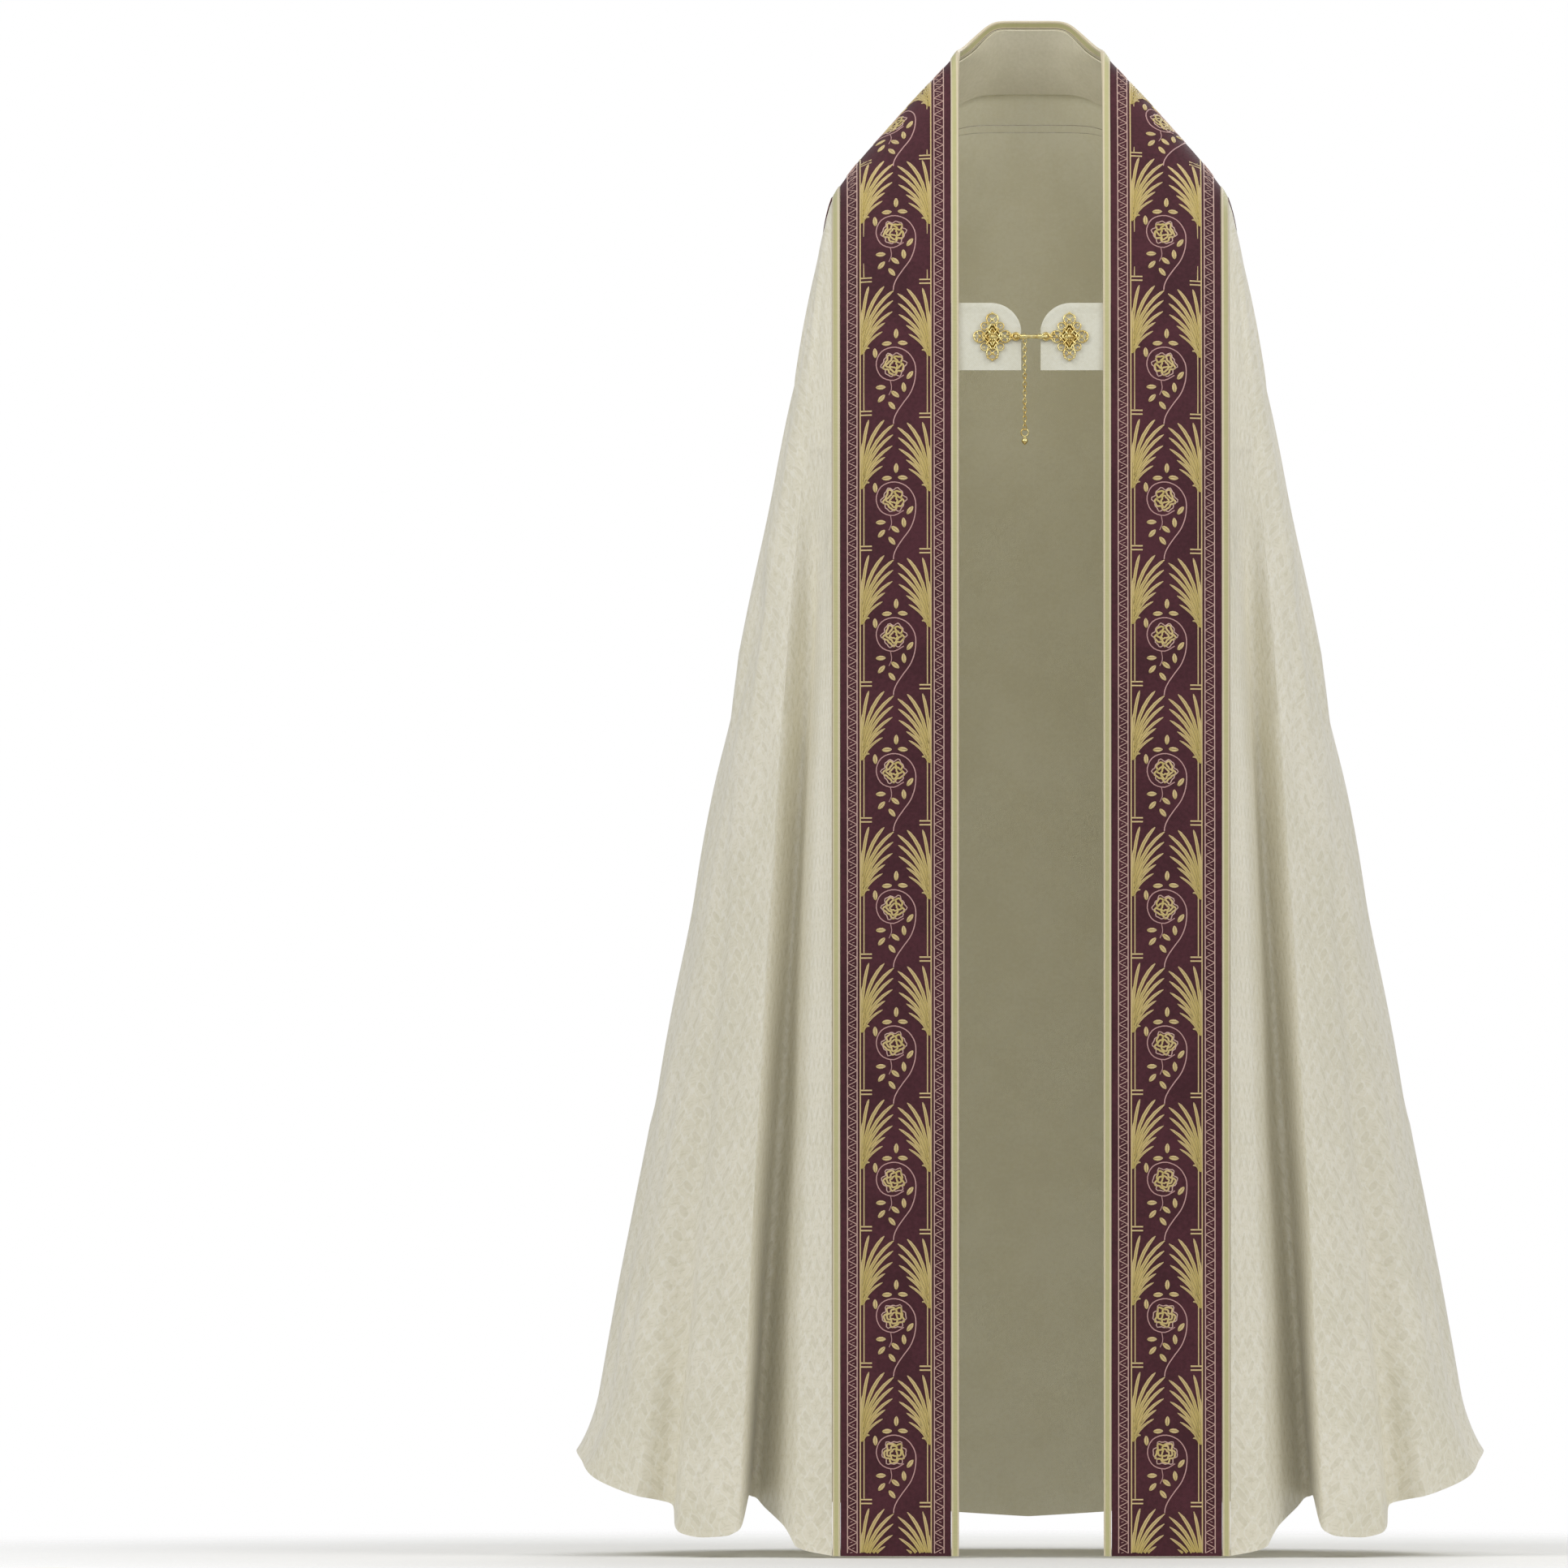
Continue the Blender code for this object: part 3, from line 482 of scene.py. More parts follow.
def hood_table():
    """Grid of points over the back: rows by height, columns by distance round from the centre."""
    heights = np.linspace(HOOD_TIP - 0.020, 1.46, COARSE)
    reach = np.linspace(0, HOOD_HALF_WIDTH + 0.030, COARSE)
    angles = np.linspace(math.pi, 0.9, MIDDLING)
    rows = []
    for height in heights:
        line = ring_point(angles, np.full(MIDDLING, height))[0]
        rows.append(at_lengths(line, lengths(line), reach))
    return np.array(rows), heights, reach


def look_up(grid, rows, columns, row, column, lift):
    """Point of a grid at (row, column), moved out by lift along the grid's normal."""
    i = np.clip((row - rows[0]) / (rows[1] - rows[0]), 0, len(rows) - 1.001)
    j = np.clip((column - columns[0]) / (columns[1] - columns[0]), 0, len(columns) - 1.001)
    a = i.astype(int)
    b = j.astype(int)
    u = (i - a)[..., None]
    v = (j - b)[..., None]
    near = grid[a, b] * (1 - v) + grid[a, b + 1] * v
    far = grid[a + 1, b] * (1 - v) + grid[a + 1, b + 1] * v
    side = (grid[a, b + 1] - grid[a, b]) * (1 - u) + (grid[a + 1, b + 1] - grid[a + 1, b]) * u
    normal = np.cross(far - near, side)
    normal /= np.linalg.norm(normal, axis=-1, keepdims=True)
    return near * (1 - u) + far * u + normal * np.asarray(lift)[..., None]


STRIP_GRID = strip_table()
HOOD_GRID = hood_table()


def strip_point(along, w, lift=0.0):
    """Point on the right band, at a length from the hem and a distance from the front edge."""
    along, w = np.broadcast_arrays(np.asarray(along, float), np.asarray(w, float))
    return look_up(*STRIP_GRID, w, along, lift)


def hood_point(reach, height, lift=0.0):
    """Point on the back, at a distance round from its centre and a height."""
    sign = np.where(np.asarray(reach) < 0, -1.0, 1.0)
    point = look_up(*HOOD_GRID, np.asarray(height, float), np.abs(reach), lift)
    point[..., 0] *= sign
    return point


def top_line():
    """Lower edge of the band round the back: ring place, distance from the centre, and height."""
    line, ridge = strip_line(STRIP + CLOAK_GAP)
    back = line[ridge - 1 :]
    angle = math.pi / 2 + np.linspace(0, math.pi / 2, len(back))
    reach = []
    for point, turn in zip(back, angle):
        arc = ring_point(np.linspace(math.pi, turn, COARSE), np.full(COARSE, point[2]))[0]
        reach.append(lengths(arc)[-1])
    return angle / (math.pi / 2) - 1, np.array(reach), back[:, 2]


TOP_PLACE, TOP_REACH, TOP_HEIGHT = top_line()


def top_height(place):
    return np.interp(place, TOP_PLACE, TOP_HEIGHT)


def hood_top(reach):
    return np.interp(np.abs(reach), TOP_REACH[::-1], TOP_HEIGHT[::-1])


def hood_lower(reach):
    return HOOD_TIP + (HOOD_CORNER - HOOD_TIP) * np.abs(reach) / HOOD_HALF_WIDTH


def hood_lift(height):
    """How far the hood's outer face stands off the back."""
    down = np.clip((HOOD_SPRING - height) / HOOD_SPRING_TALL, 0, 1)
    return CLOTH + HOOD_LIFT_TOP + (HOOD_LIFT_LOW - HOOD_LIFT_TOP) * down


# Node helpers


class Nodes:
    """Short forms for building a material's nodes."""

    def __init__(self, name):
        self.material = bpy.data.materials.new(name)
        self.material.use_nodes = True
        self.tree = self.material.node_tree
        self.shader = self.tree.nodes["Principled BSDF"]

    def add(self, kind, **values):
        node = self.tree.nodes.new(kind)
        for key, value in values.items():
            setattr(node, key, value)
        return node

    def put(self, value, socket):
        if isinstance(value, bpy.types.NodeSocket):
            self.tree.links.new(value, socket)
        else:
            socket.default_value = value

    def math(self, operation, *inputs):
        node = self.add("ShaderNodeMath", operation=operation)
        for value, socket in zip(inputs, node.inputs):
            self.put(value, socket)
        return node.outputs[0]

    def plus(self, first, second):
        return self.math("ADD", first, second)

    def minus(self, first, second):
        return self.math("SUBTRACT", first, second)

    def times(self, first, second):
        return self.math("MULTIPLY", first, second)

    def over(self, first, second):
        return self.math("DIVIDE", first, second)

    def size(self, value):
        return self.math("ABSOLUTE", value)

    def smooth(self, value, low, high):
        """1 where the value is under low, falling smoothly to 0 at high."""
        node = self.add("ShaderNodeMapRange", interpolation_type="SMOOTHSTEP")
        for number, socket in zip((value, low, high, 1.0, 0.0), node.inputs):
            self.put(number, socket)
        return node.outputs[0]

    def mix(self, share, first, second):
        node = self.add("ShaderNodeMix", data_type="RGBA")
        self.put(share, node.inputs[0])
        self.put(first, node.inputs[6])
        self.put(second, node.inputs[7])
        return node.outputs[2]

    def noise(self, vector, scale, detail=3.0, roughness=0.55):
        node = self.add("ShaderNodeTexNoise")
        self.put(vector, node.inputs["Vector"])
        node.inputs["Scale"].default_value = scale
        node.inputs["Detail"].default_value = detail
        node.inputs["Roughness"].default_value = roughness
        return node.outputs[0]

    def plan(self):
        """The cloth's own flat coordinates, in metres: across and along."""
        vector = self.add("ShaderNodeUVMap", uv_map="plan").outputs[0]
        split = self.add("ShaderNodeSeparateXYZ")
        self.put(vector, split.inputs[0])
        return vector, split.outputs[0], split.outputs[1]

    def bump(self, height, distance, strength):
        node = self.add("ShaderNodeBump")
        node.inputs["Strength"].default_value = strength
        node.inputs["Distance"].default_value = distance
        self.put(height, node.inputs["Height"])
        return node.outputs[0]

    def finish(self, colour, roughness, normal=None, **constants):
        for value, name in ((colour, "Base Color"), (roughness, "Roughness"), (normal, "Normal")):
            if value is not None:
                self.put(value, self.shader.inputs[name])
        for name, value in constants.items():
            self.shader.inputs[name.replace("_", " ")].default_value = value
        return self.material


def rgb(red, green, blue):
    """Linear colour from the 0 to 255 values that a screen shows."""
    values = []
    for channel in (red, green, blue):
        share = channel / 255
        values.append(share / 12.92 if share < 0.04045 else ((share + 0.055) / 1.055) ** 2.4)
    return (*values, 1.0)


def weave_height(nodes, across, along, pitch):
    """Plain weave: threads over and under each other."""
    x = nodes.math("SINE", nodes.times(across, math.pi / pitch))
    y = nodes.math("SINE", nodes.times(along, math.pi / pitch))
    return nodes.times(x, y)


# Materials

# Brocade: the width and height of a cell of its repeat, and the half sizes of the figures in it
CELL_WIDE = 0.0218
CELL_TALL = 0.0253
PETAL_HALF = (0.0036, 0.0074)
PETAL_LEAN = 0.62
LIGHT_PETAL_HALF = (0.0022, 0.0050)
OGEE_MIDDLE = 0.0052
OGEE_SWELL = 0.0030
BAR_APART = 0.0016


def brocade_material():
    """Ivory figured brocade: petals that lean to each side by turns, with sprigs and bars between them."""
    n = Nodes("ivory_brocade_cloth")
    vector, across, along = n.plan()
    wobble = n.times(n.minus(n.noise(vector, 60.0, 2.0), 0.5), 0.0035)
    u = n.over(n.plus(across, wobble), CELL_WIDE)
    v = n.over(n.plus(along, wobble), CELL_TALL)
    odd = n.math("PINGPONG", n.math("FLOOR", u), 1.0)
    lean = n.minus(n.times(odd, 2.0), 1.0)

    def cell(value, size, shift):
        part = n.math("FRACT", n.plus(value, shift))
        return n.times(n.minus(part, 0.5), size)

    def oval(a, b, half):
        """1 on the edge of an oval, less inside it."""
        wide = n.math("POWER", n.over(n.size(a), half[0]), 2.0)
        tall = n.math("POWER", n.over(n.size(b), half[1]), 2.0)
        return n.plus(wide, tall)

    x = cell(u, CELL_WIDE, 0.0)
    y = cell(v, CELL_TALL, 0.0)
    slanted = n.plus(x, n.times(n.times(y, lean), PETAL_LEAN))
    edge = oval(slanted, y, PETAL_HALF)
    petal = n.smooth(edge, 0.55, 1.25)
    rim = n.times(n.smooth(edge, 1.2, 2.4), n.minus(1.0, petal))

    x_between = cell(u, CELL_WIDE, 0.5)
    y_between = cell(v, CELL_TALL, 0.5)
    thin_x = n.smooth(n.size(x_between), 0.0004, 0.0010)
    thin_y = n.smooth(n.size(y_between), 0.0004, 0.0010)
    short_x = n.smooth(n.size(x_between), 0.0024, 0.0034)
    short_y = n.smooth(n.size(y_between), 0.0024, 0.0034)
    cross = n.math("MAXIMUM", n.times(thin_x, short_y), n.times(thin_y, short_x))
    pair = n.size(n.minus(n.size(y_between), BAR_APART))
    bars = n.times(n.smooth(pair, 0.0003, 0.0008), short_x)
    odd_between = n.math("PINGPONG", n.math("FLOOR", n.plus(u, 0.5)), 1.0)
    small = n.plus(n.times(cross, odd_between), n.times(bars, n.minus(1.0, odd_between)))

    turn = n.times(v, 2 * math.pi)
    swell = n.plus(OGEE_MIDDLE, n.times(n.math("COSINE", turn), OGEE_SWELL))
    outline = n.size(n.minus(n.size(x_between), swell))
    ogee = n.smooth(outline, 0.0003, 0.0011)
    light_petal = n.smooth(oval(x_between, y, LIGHT_PETAL_HALF), 0.55, 1.25)

    broken = n.plus(0.45, n.times(n.noise(vector, 320.0, 2.0), 0.9))
    patchy = n.plus(0.25, n.times(n.noise(vector, 150.0, 3.0), 1.3))
    light = n.times(n.math("MAXIMUM", ogee, light_petal), patchy)
    figure = n.times(n.math("MAXIMUM", petal, n.times(small, 0.85)), broken)
    large = n.noise(vector, 9.0, 4.0)
    base = n.mix(n.smooth(large, 0.36, 0.64), rgb(240, 235, 217), rgb(233, 228, 208))
    colour = n.mix(n.times(figure, 0.38), base, rgb(214, 208, 186))
    colour = n.mix(n.times(rim, 0.30), colour, rgb(249, 246, 235))
    colour = n.mix(n.times(light, 0.42), colour, rgb(250, 248, 238))
    fleck = n.smooth(n.noise(vector, 170.0, 4.0, 0.7), 0.36, 0.52)
    colour = n.mix(n.times(fleck, 0.40), colour, rgb(212, 206, 178))
    threads = weave_height(n, across, along, 0.0006)
    relief = n.plus(n.times(figure, -1.0), n.times(threads, 0.10))
    relief = n.plus(relief, n.times(n.math("MAXIMUM", rim, light), 0.5))
    normal = n.bump(relief, 0.0003, 0.40)
    roughness = n.plus(0.46, n.times(figure, 0.16))
    return n.finish(
        colour, roughness, normal, Sheen_Weight=0.25, Sheen_Roughness=0.4, Specular_IOR_Level=0.35
    )


def plain_cloth_material(name, light, dark, pitch, roughness, sheen):
    """Plain woven cloth with a little unevenness of colour."""
    n = Nodes(name)
    vector, across, along = n.plan()
    patches = n.noise(vector, 14.0, 5.0, 0.6)
    slubs = n.noise(vector, 260.0, 3.0, 0.6)
    share = n.plus(n.times(patches, 0.55), n.times(slubs, 0.45))
    colour = n.mix(n.smooth(share, 0.38, 0.62), light, dark)
    threads = weave_height(n, across, along, pitch)
    relief = n.plus(n.times(threads, 0.5), slubs)
    normal = n.bump(relief, 0.0003, 0.5)
    return n.finish(colour, roughness, normal, Sheen_Weight=sheen, Specular_IOR_Level=0.25)


def binding_material():
    """Yellowish braid with a light line down the edge beside the burgundy cloth, and a ribbed middle."""
    n = Nodes("gold_binding_braid")
    vector, across, along = n.plan()
    edge = n.size(n.minus(across, BINDING / 2))
    middle = n.smooth(edge, 0.0015, 0.0026)
    share = n.plus(n.times(middle, 0.8), n.times(n.noise(vector, 180.0), 0.3))
    colour = n.mix(share, rgb(232, 218, 190), rgb(198, 194, 138))
    ribs = n.math("SINE", n.times(along, 2 * math.pi / 0.0011))
    weft = n.math("SINE", n.times(across, 2 * math.pi / 0.0014))
    relief = n.plus(n.times(ribs, 0.5), n.times(weft, 0.3))
    normal = n.bump(relief, 0.00025, 0.6)
    return n.finish(colour, 0.42, normal, Sheen_Weight=0.3, Specular_IOR_Level=0.5)


def thread_material(name, deep, bright, roughness=0.36):
    """Stitched thread: fine strands that slant across each stroke, lighter towards its tip."""
    n = Nodes(name)
    vector, across, along = n.plan()
    tone = n.add("ShaderNodeAttribute", attribute_name="tone").outputs["Fac"]
    slant = n.plus(across, n.times(along, 0.8))
    strands = n.math("SINE", n.times(slant, 2 * math.pi / 0.00055))
    uneven = n.noise(vector, 420.0, 3.0)
    share = n.plus(n.times(tone, 0.62), n.times(uneven, 0.30))
    share = n.plus(share, n.times(strands, 0.10))
    colour = n.mix(share, deep, bright)
    normal = n.bump(n.plus(strands, uneven), 0.00012, 0.7)
    return n.finish(colour, roughness, normal, Sheen_Weight=0.35, Specular_IOR_Level=0.6)


def metal_material():
    """Bright gold-plated metal, a little duller and redder in random patches."""
    n = Nodes("clasp_gold_metal")
    place = n.add("ShaderNodeTexCoord").outputs["Object"]
    fine = n.noise(place, 900.0, 4.0, 0.6)
    coarse = n.noise(place, 160.0, 3.0)
    colour = n.mix(n.smooth(coarse, 0.42, 0.60), rgb(246, 232, 170), rgb(222, 196, 122))
    roughness = n.plus(0.16, n.times(fine, 0.22))
    normal = n.bump(fine, 0.00008, 0.5)
    return n.finish(colour, roughness, normal, Metallic=1.0)


def floor_material():
    """Pale floor that fades out towards its edge."""
    n = Nodes("pale_floor")
    place = n.add("ShaderNodeTexCoord").outputs["Object"]
    away = n.add("ShaderNodeVectorMath", operation="LENGTH")
    n.put(place, away.inputs[0])
    fade = n.smooth(away.outputs["Value"], 0.55, 1.45)
    n.put(fade, n.shader.inputs["Alpha"])
    grain = n.noise(place, 30.0, 4.0)
    colour = n.mix(grain, rgb(252, 252, 251), rgb(248, 248, 247))
    return n.finish(colour, 0.75, Specular_IOR_Level=0.1)


BROCADE = brocade_material()
LINING = plain_cloth_material("cope_lining", rgb(250, 246, 224), rgb(244, 239, 214), 0.0008, 0.7, 0.15)
FACING = plain_cloth_material("facing_cloth", rgb(232, 226, 204), rgb(222, 216, 192), 0.0008, 0.75, 0.1)
TAB_CLOTH = plain_cloth_material("clasp_tab_cloth", rgb(228, 227, 212), rgb(220, 218, 200), 0.0007, 0.55, 0.3)
BURGUNDY = plain_cloth_material("burgundy_band_cloth", rgb(84, 40, 50), rgb(68, 30, 38), 0.0007, 0.72, 0.12)
BRAID = binding_material()
GOLD_THREAD = thread_material("gold_thread", rgb(206, 184, 78), rgb(250, 222, 174))
PINK_THREAD = thread_material("rose_gold_thread", rgb(206, 160, 148), rgb(250, 218, 204))
VINE_THREAD = thread_material("vine_thread", rgb(192, 140, 138), rgb(236, 190, 184))
BRIGHT_THREAD = thread_material("bright_gold_thread", rgb(196, 140, 22), rgb(238, 192, 62), 0.3)
WHITE_THREAD = thread_material("white_thread", rgb(228, 214, 158), rgb(255, 252, 238))
METAL = metal_material()


# Making pieces


def set_mesh(name, points, faces, plan, materials, looks=None, tone=None, sharp=50):
    """Piece from points given at heights above the hem, with the cloth's flat plan as its UVs."""
    mesh = bpy.data.meshes.new(name)
    lowered = np.asarray(points, float) - np.array([0, 0, HOLD_HEIGHT])
    mesh.from_pydata(lowered.tolist(), [], np.asarray(faces).tolist())
    for material in materials:
        mesh.materials.append(material)
    if looks is not None:
        mesh.polygons.foreach_set("material_index", np.asarray(looks, np.int32))
    corner = np.empty(len(mesh.loops), np.int32)
    mesh.loops.foreach_get("vertex_index", corner)
    layer = mesh.uv_layers.new(name="plan")
    layer.data.foreach_set("uv", np.asarray(plan, np.float32)[corner].ravel())
    if tone is not None:
        attribute = mesh.attributes.new("tone", "FLOAT", "POINT")
        attribute.data.foreach_set("value", np.asarray(tone, np.float32))
    bm = bmesh.new()
    bm.from_mesh(mesh)
    bmesh.ops.recalc_face_normals(bm, faces=bm.faces)
    bm.to_mesh(mesh)
    bm.free()
    mesh.shade_smooth()
    mesh.set_sharp_from_angle(angle=math.radians(sharp))
    obj = bpy.data.objects.new(name, mesh)
    bpy.context.scene.collection.objects.link(obj)
    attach(obj, "cope")
    return obj


def shell(name, outer, inner, plan, materials):
    """Thin cloth between the grids of its two faces. Materials: the right side, then the wrong side."""
    rows, columns = outer.shape[:2]
    count = rows * columns
    order = np.arange(count).reshape(rows, columns)
    quads = np.stack([order[:-1, :-1], order[1:, :-1], order[1:, 1:], order[:-1, 1:]], -1).reshape(-1, 4)
    rim = np.concatenate([order[0, :-1], order[:-1, -1], order[-1, :0:-1], order[:0:-1, 0]])
    after = np.roll(rim, -1)
    edge = np.stack([rim, after, after + count, rim + count], -1)
    faces = np.concatenate([quads, quads[:, ::-1] + count, edge])
    looks = np.concatenate([np.zeros(len(quads)), np.ones(len(quads)), np.zeros(len(edge))])
    points = np.concatenate([outer.reshape(-1, 3), inner.reshape(-1, 3)])
    plan = np.concatenate([plan.reshape(-1, 2)] * 2)
    return set_mesh(name, points, faces, plan, materials, looks)


def cloth_of(piece, node, slot, **cut):
    """Hide the imported node that a cloth stands for. Its material slot and flat cut are not used."""
    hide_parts(node)


def whole(right):
    """Both halves of a piece in one grid, from the half whose last column is the centre."""
    return np.concatenate([right, right[:, -2::-1] * MIRROR_X], 1)


def rows_run(grid):
    """Length along each row of a grid, up to each of its points."""
    steps = np.linalg.norm(np.diff(grid, axis=1), axis=-1)
    return np.concatenate([np.zeros_like(steps[:, :1]), np.cumsum(steps, 1)], 1)


# Cloak


def small_creases(place, height):
    """How far the cloth's small creases push its outer face in."""
    point = ring_point(place_angle(place, height), height)[0]
    push = np.zeros(np.shape(place))
    for crease in CREASES:
        run = (crease.height - height) / (crease.height - crease.height_low)
        share = np.clip(run, 0, 1)
        centre_place = crease.place + (crease.place_low - crease.place) * share
        bend = 0.006 * np.sin(height * 31 + crease.place * 70)
        centre = ring_point(place_angle(np.clip(centre_place + bend, 0, 1), height), height)[0]
        away = np.linalg.norm((point - centre)[..., :2], axis=-1) / crease.width
        length = crease.height - crease.height_low
        fade = np.clip(run * length / CREASE_FADE * 2, 0, 1)
        if crease.height_low >= CREASE_FADE:
            fade = fade * np.clip((1 - run) * length / CREASE_FADE * 4, 0, 1)
        push += crease.depth * fade * (1.3 * np.exp(-2.2 * away**2) - 0.3 * np.exp(-0.6 * away**2))
    return push


def seam_puckers(place, height):
    """Short creases across both sides of the side seam."""
    seam = seam_place(height)
    here = ring_point(place_angle(place, height), height)[0]
    there = ring_point(place_angle(seam, height), height)[0]
    away = np.linalg.norm((here - there)[..., :2], axis=-1) / PUCKER_REACH
    phase = height / PUCKER_PITCH + 0.35 * np.sin(height * 23) + 0.2 * np.sin(height * 57)
    strength = 0.55 + 0.45 * np.sin(height * 9 + 1)
    wave = 0.5 - 0.5 * np.cos(2 * math.pi * phase)
    return PUCKER_DEPTH * strength * wave * np.exp(-(away**2)) * np.clip((1.30 - height) / 0.1, 0, 1)


def drift(place, height):
    """Slow unevenness of hanging cloth."""
    slow = np.sin(place * 41 + height * 5.1) * np.sin(height * 11 + place * 9)
    quick = np.sin(place * 97 - height * 8.7 + 1.3) * np.sin(height * 19 + 0.7)
    return 0.0011 * (1 + slow) + 0.0005 * (1 + quick)


def cloak_face(place, height, depth):
    """Point at a depth under the outer face of the cloak, with its small creases."""
    top = top_height(place)
    edge = np.clip(place / 0.006, 0, 1) * np.clip((top - height) / 0.03, 0, 1)
    edge *= np.clip((height - hem_height(place)) / 0.02 + 0.5, 0, 1)
    push = (small_creases(place, height) + drift(place, height)) * edge + seam_puckers(place, height)
    step = 1e-4
    after = np.minimum(place + step, 1)
    along = cloak_point(after, height) - cloak_point(after - step, height)
    up = cloak_point(place, height + step) - cloak_point(place, height - step)
    outward = np.cross(along, up)
    outward /= np.linalg.norm(outward, axis=-1, keepdims=True)
    return cloak_point(place, height) - outward * (depth + push)[..., None]


def down_shares(place):
    """Shares from the top of the cloak to its hem, closer together where it turns over the shoulder."""
    power = ROW_EVENNESS + ROW_CROWDING * np.exp(-place / ROW_CROWDING_FADE)
    share = np.linspace(0, 1, CLOAK_ROWS) ** power
    return share + ROW_STRETCH * share**2 * (1 - share)


def cloak_grids(columns, apex):
    """Outer grid, inner grid and cut plan, from each column's ring place as it runs down."""
    places = []
    heights = []
    for place_at in columns:
        height = np.full(CLOAK_ROWS, 1.0)
        shares = down_shares(place_at(height)[0])
        for _ in range(8):
            top = top_height(place_at(height))
            height = top + (hem_height(place_at(height)) - top) * shares
        places.append(place_at(height))
        heights.append(height)
    place = np.stack(places, 1)
    height = np.stack(heights, 1)
    outer = cloak_face(place, height, 0.0)
    return outer, cloak_face(place, height, CLOTH), rows_run(outer), apex - height * 1.02


def cut_plan(across, radius):
    """Place on the flat cut of a flared panel whose grain follows its first edge."""
    turn = across / radius
    return np.stack([radius * np.sin(turn), radius * np.cos(turn)], -1)


def fixed_column(place):
    return lambda height: np.full_like(height, place)


def column_to_seam(start, share):
    return lambda height: start + (seam_place(height) - 0.0002 - start) * share


def column_past_seam(share):
    return lambda height: seam_place(height) + 0.0002 + (1 - seam_place(height) - 0.0002) * share


def build_mantle():
    places = subdivided(0.0, FRONT_STRETCHES)
    columns = [fixed_column(place) for place in places]
    columns += [column_to_seam(places[-1], k / FRONT_COLUMNS) for k in range(1, FRONT_COLUMNS + 1)]
    outer, inner, across, radius = cloak_grids(columns, CUT_APEX_FRONT)
    plan = cut_plan(across, radius)
    for side, mirror in (("right", 1), ("left", MIRROR_X)):
        piece = shell("cloak_front_" + side, outer * mirror, inner * mirror, plan, [BROCADE, LINING])
        cut = dict(flat=(0.66, 1.46), held="draped", rests_on=["wearer_shoulders"], area=0.56)
        cloth_of(piece, "mantle_" + side, "ivory_brocade", **cut)
    columns = [column_past_seam(k / BACK_COLUMNS) for k in range(BACK_COLUMNS + 1)]
    outer, inner, across, radius = cloak_grids(columns, CUT_APEX_BACK)
    across = across - across[:, -1:]
    plan = cut_plan(across, radius)
    plan = np.concatenate([plan, plan[:, -2::-1] * np.array([-1, 1])], 1)
    piece = shell("cloak_back", whole(outer), whole(inner), plan, [BROCADE, LINING])
    cut = dict(flat=(1.02, 1.42), held="draped", rests_on=["wearer_shoulders"], area=0.93)
    cloth_of(piece, "mantle_back", "ivory_brocade", **cut)


# Bands


def band_stations():
    return subdivided(0.0, (Stretch(1.10, 110), Stretch(STRIP_LENGTH - 0.00002, 130)))


def build_bands():
    along = band_stations()[None]
    widths = np.linspace(BINDING + BAND_CLEAR, BINDING + BAND - BAND_CLEAR, 13)[:, None]
    plan = np.stack(np.broadcast_arrays(widths, along), -1)
    outer = strip_point(along, widths, 0.0)
    inner = strip_point(along, widths, -CLOTH)
    for side, mirror in (("right", 1), ("left", MIRROR_X)):
        piece = shell("front_band_" + side, outer * mirror, inner * mirror, plan, [BURGUNDY, LINING])
        cut = dict(flat=(BAND, STRIP_LENGTH), held="draped", rests_on=["wearer_shoulders"])
        cloth_of(piece, "band_" + side, "burgundy_cloth", **cut)


Braid = namedtuple("Braid", "across rise")
BINDING_PROFILE = (
    Braid(0.00, 0.15),
    Braid(0.10, 0.72),
    Braid(0.30, 0.98),
    Braid(0.50, 1.00),
    Braid(0.70, 0.98),
    Braid(0.90, 0.72),
    Braid(1.00, 0.15),
)
BRAID_RISE = 0.0009
BRAID_SINK = 0.0004
BRAID_UNROLLED = 1.6


def build_bindings():
    """Rounded braid along both edges of the bands."""
    along = band_stations()[None]
    across = np.array([row.across for row in BINDING_PROFILE])[:, None] * BINDING
    rise = np.array([row.rise for row in BINDING_PROFILE])[:, None]
    lift = BINDING_LIFT + BRAID_RISE * rise - BRAID_SINK + 0 * along
    plan = np.stack(np.broadcast_arrays(across, along), -1)
    for name, start, wrong_side in (("inner", 0.0, BRAID), ("outer", BINDING + BAND, LINING)):
        outer = strip_point(along, start + across, lift)
        inner = strip_point(along, start + across, -BINDING_THICK + BINDING_LIFT + 0 * lift)
        for side, mirror in (("right", 1), ("left", MIRROR_X)):
            piece = shell(f"braid_{name}_{side}", outer * mirror, inner * mirror, plan, [BRAID, wrong_side])
            flat = (BINDING * BRAID_UNROLLED, STRIP_LENGTH)
            cut = dict(flat=flat, held="draped", rests_on=["front_band_" + side])
            cloth_of(piece, f"binding_{name}_{side}", "gold_binding", **cut)


def build_facing():
    """Strip inside the back of the neck, under the bands."""
    along = np.linspace(FACING_START, STRIP_LENGTH, 40)[None]
    low = BINDING + BAND_CLEAR
    widths = np.linspace(low, FACING_EDGE, 20)[:, None]
    lift = BINDING_LIFT - BINDING_THICK - FACING_CLEAR
    half = np.stack(np.broadcast_arrays(widths, along), -1)
    other = half * np.array([1, -1]) + np.array([0, 2 * STRIP_LENGTH])
    plan = np.concatenate([half, other[:, -2::-1]], 1)
    outer = strip_point(along, widths, lift)
    inner = strip_point(along, widths, lift - FACING_THICK)
    piece = shell("neck_facing_cloth", whole(outer), whole(inner), plan, [FACING, FACING])
    cut = dict(flat=(0.18, 0.093), held="stretched", rests_on=["front_band_left", "front_band_right"])
    cloth_of(piece, "neck_facing", "neck_lining", **cut)


# Stitched ornament


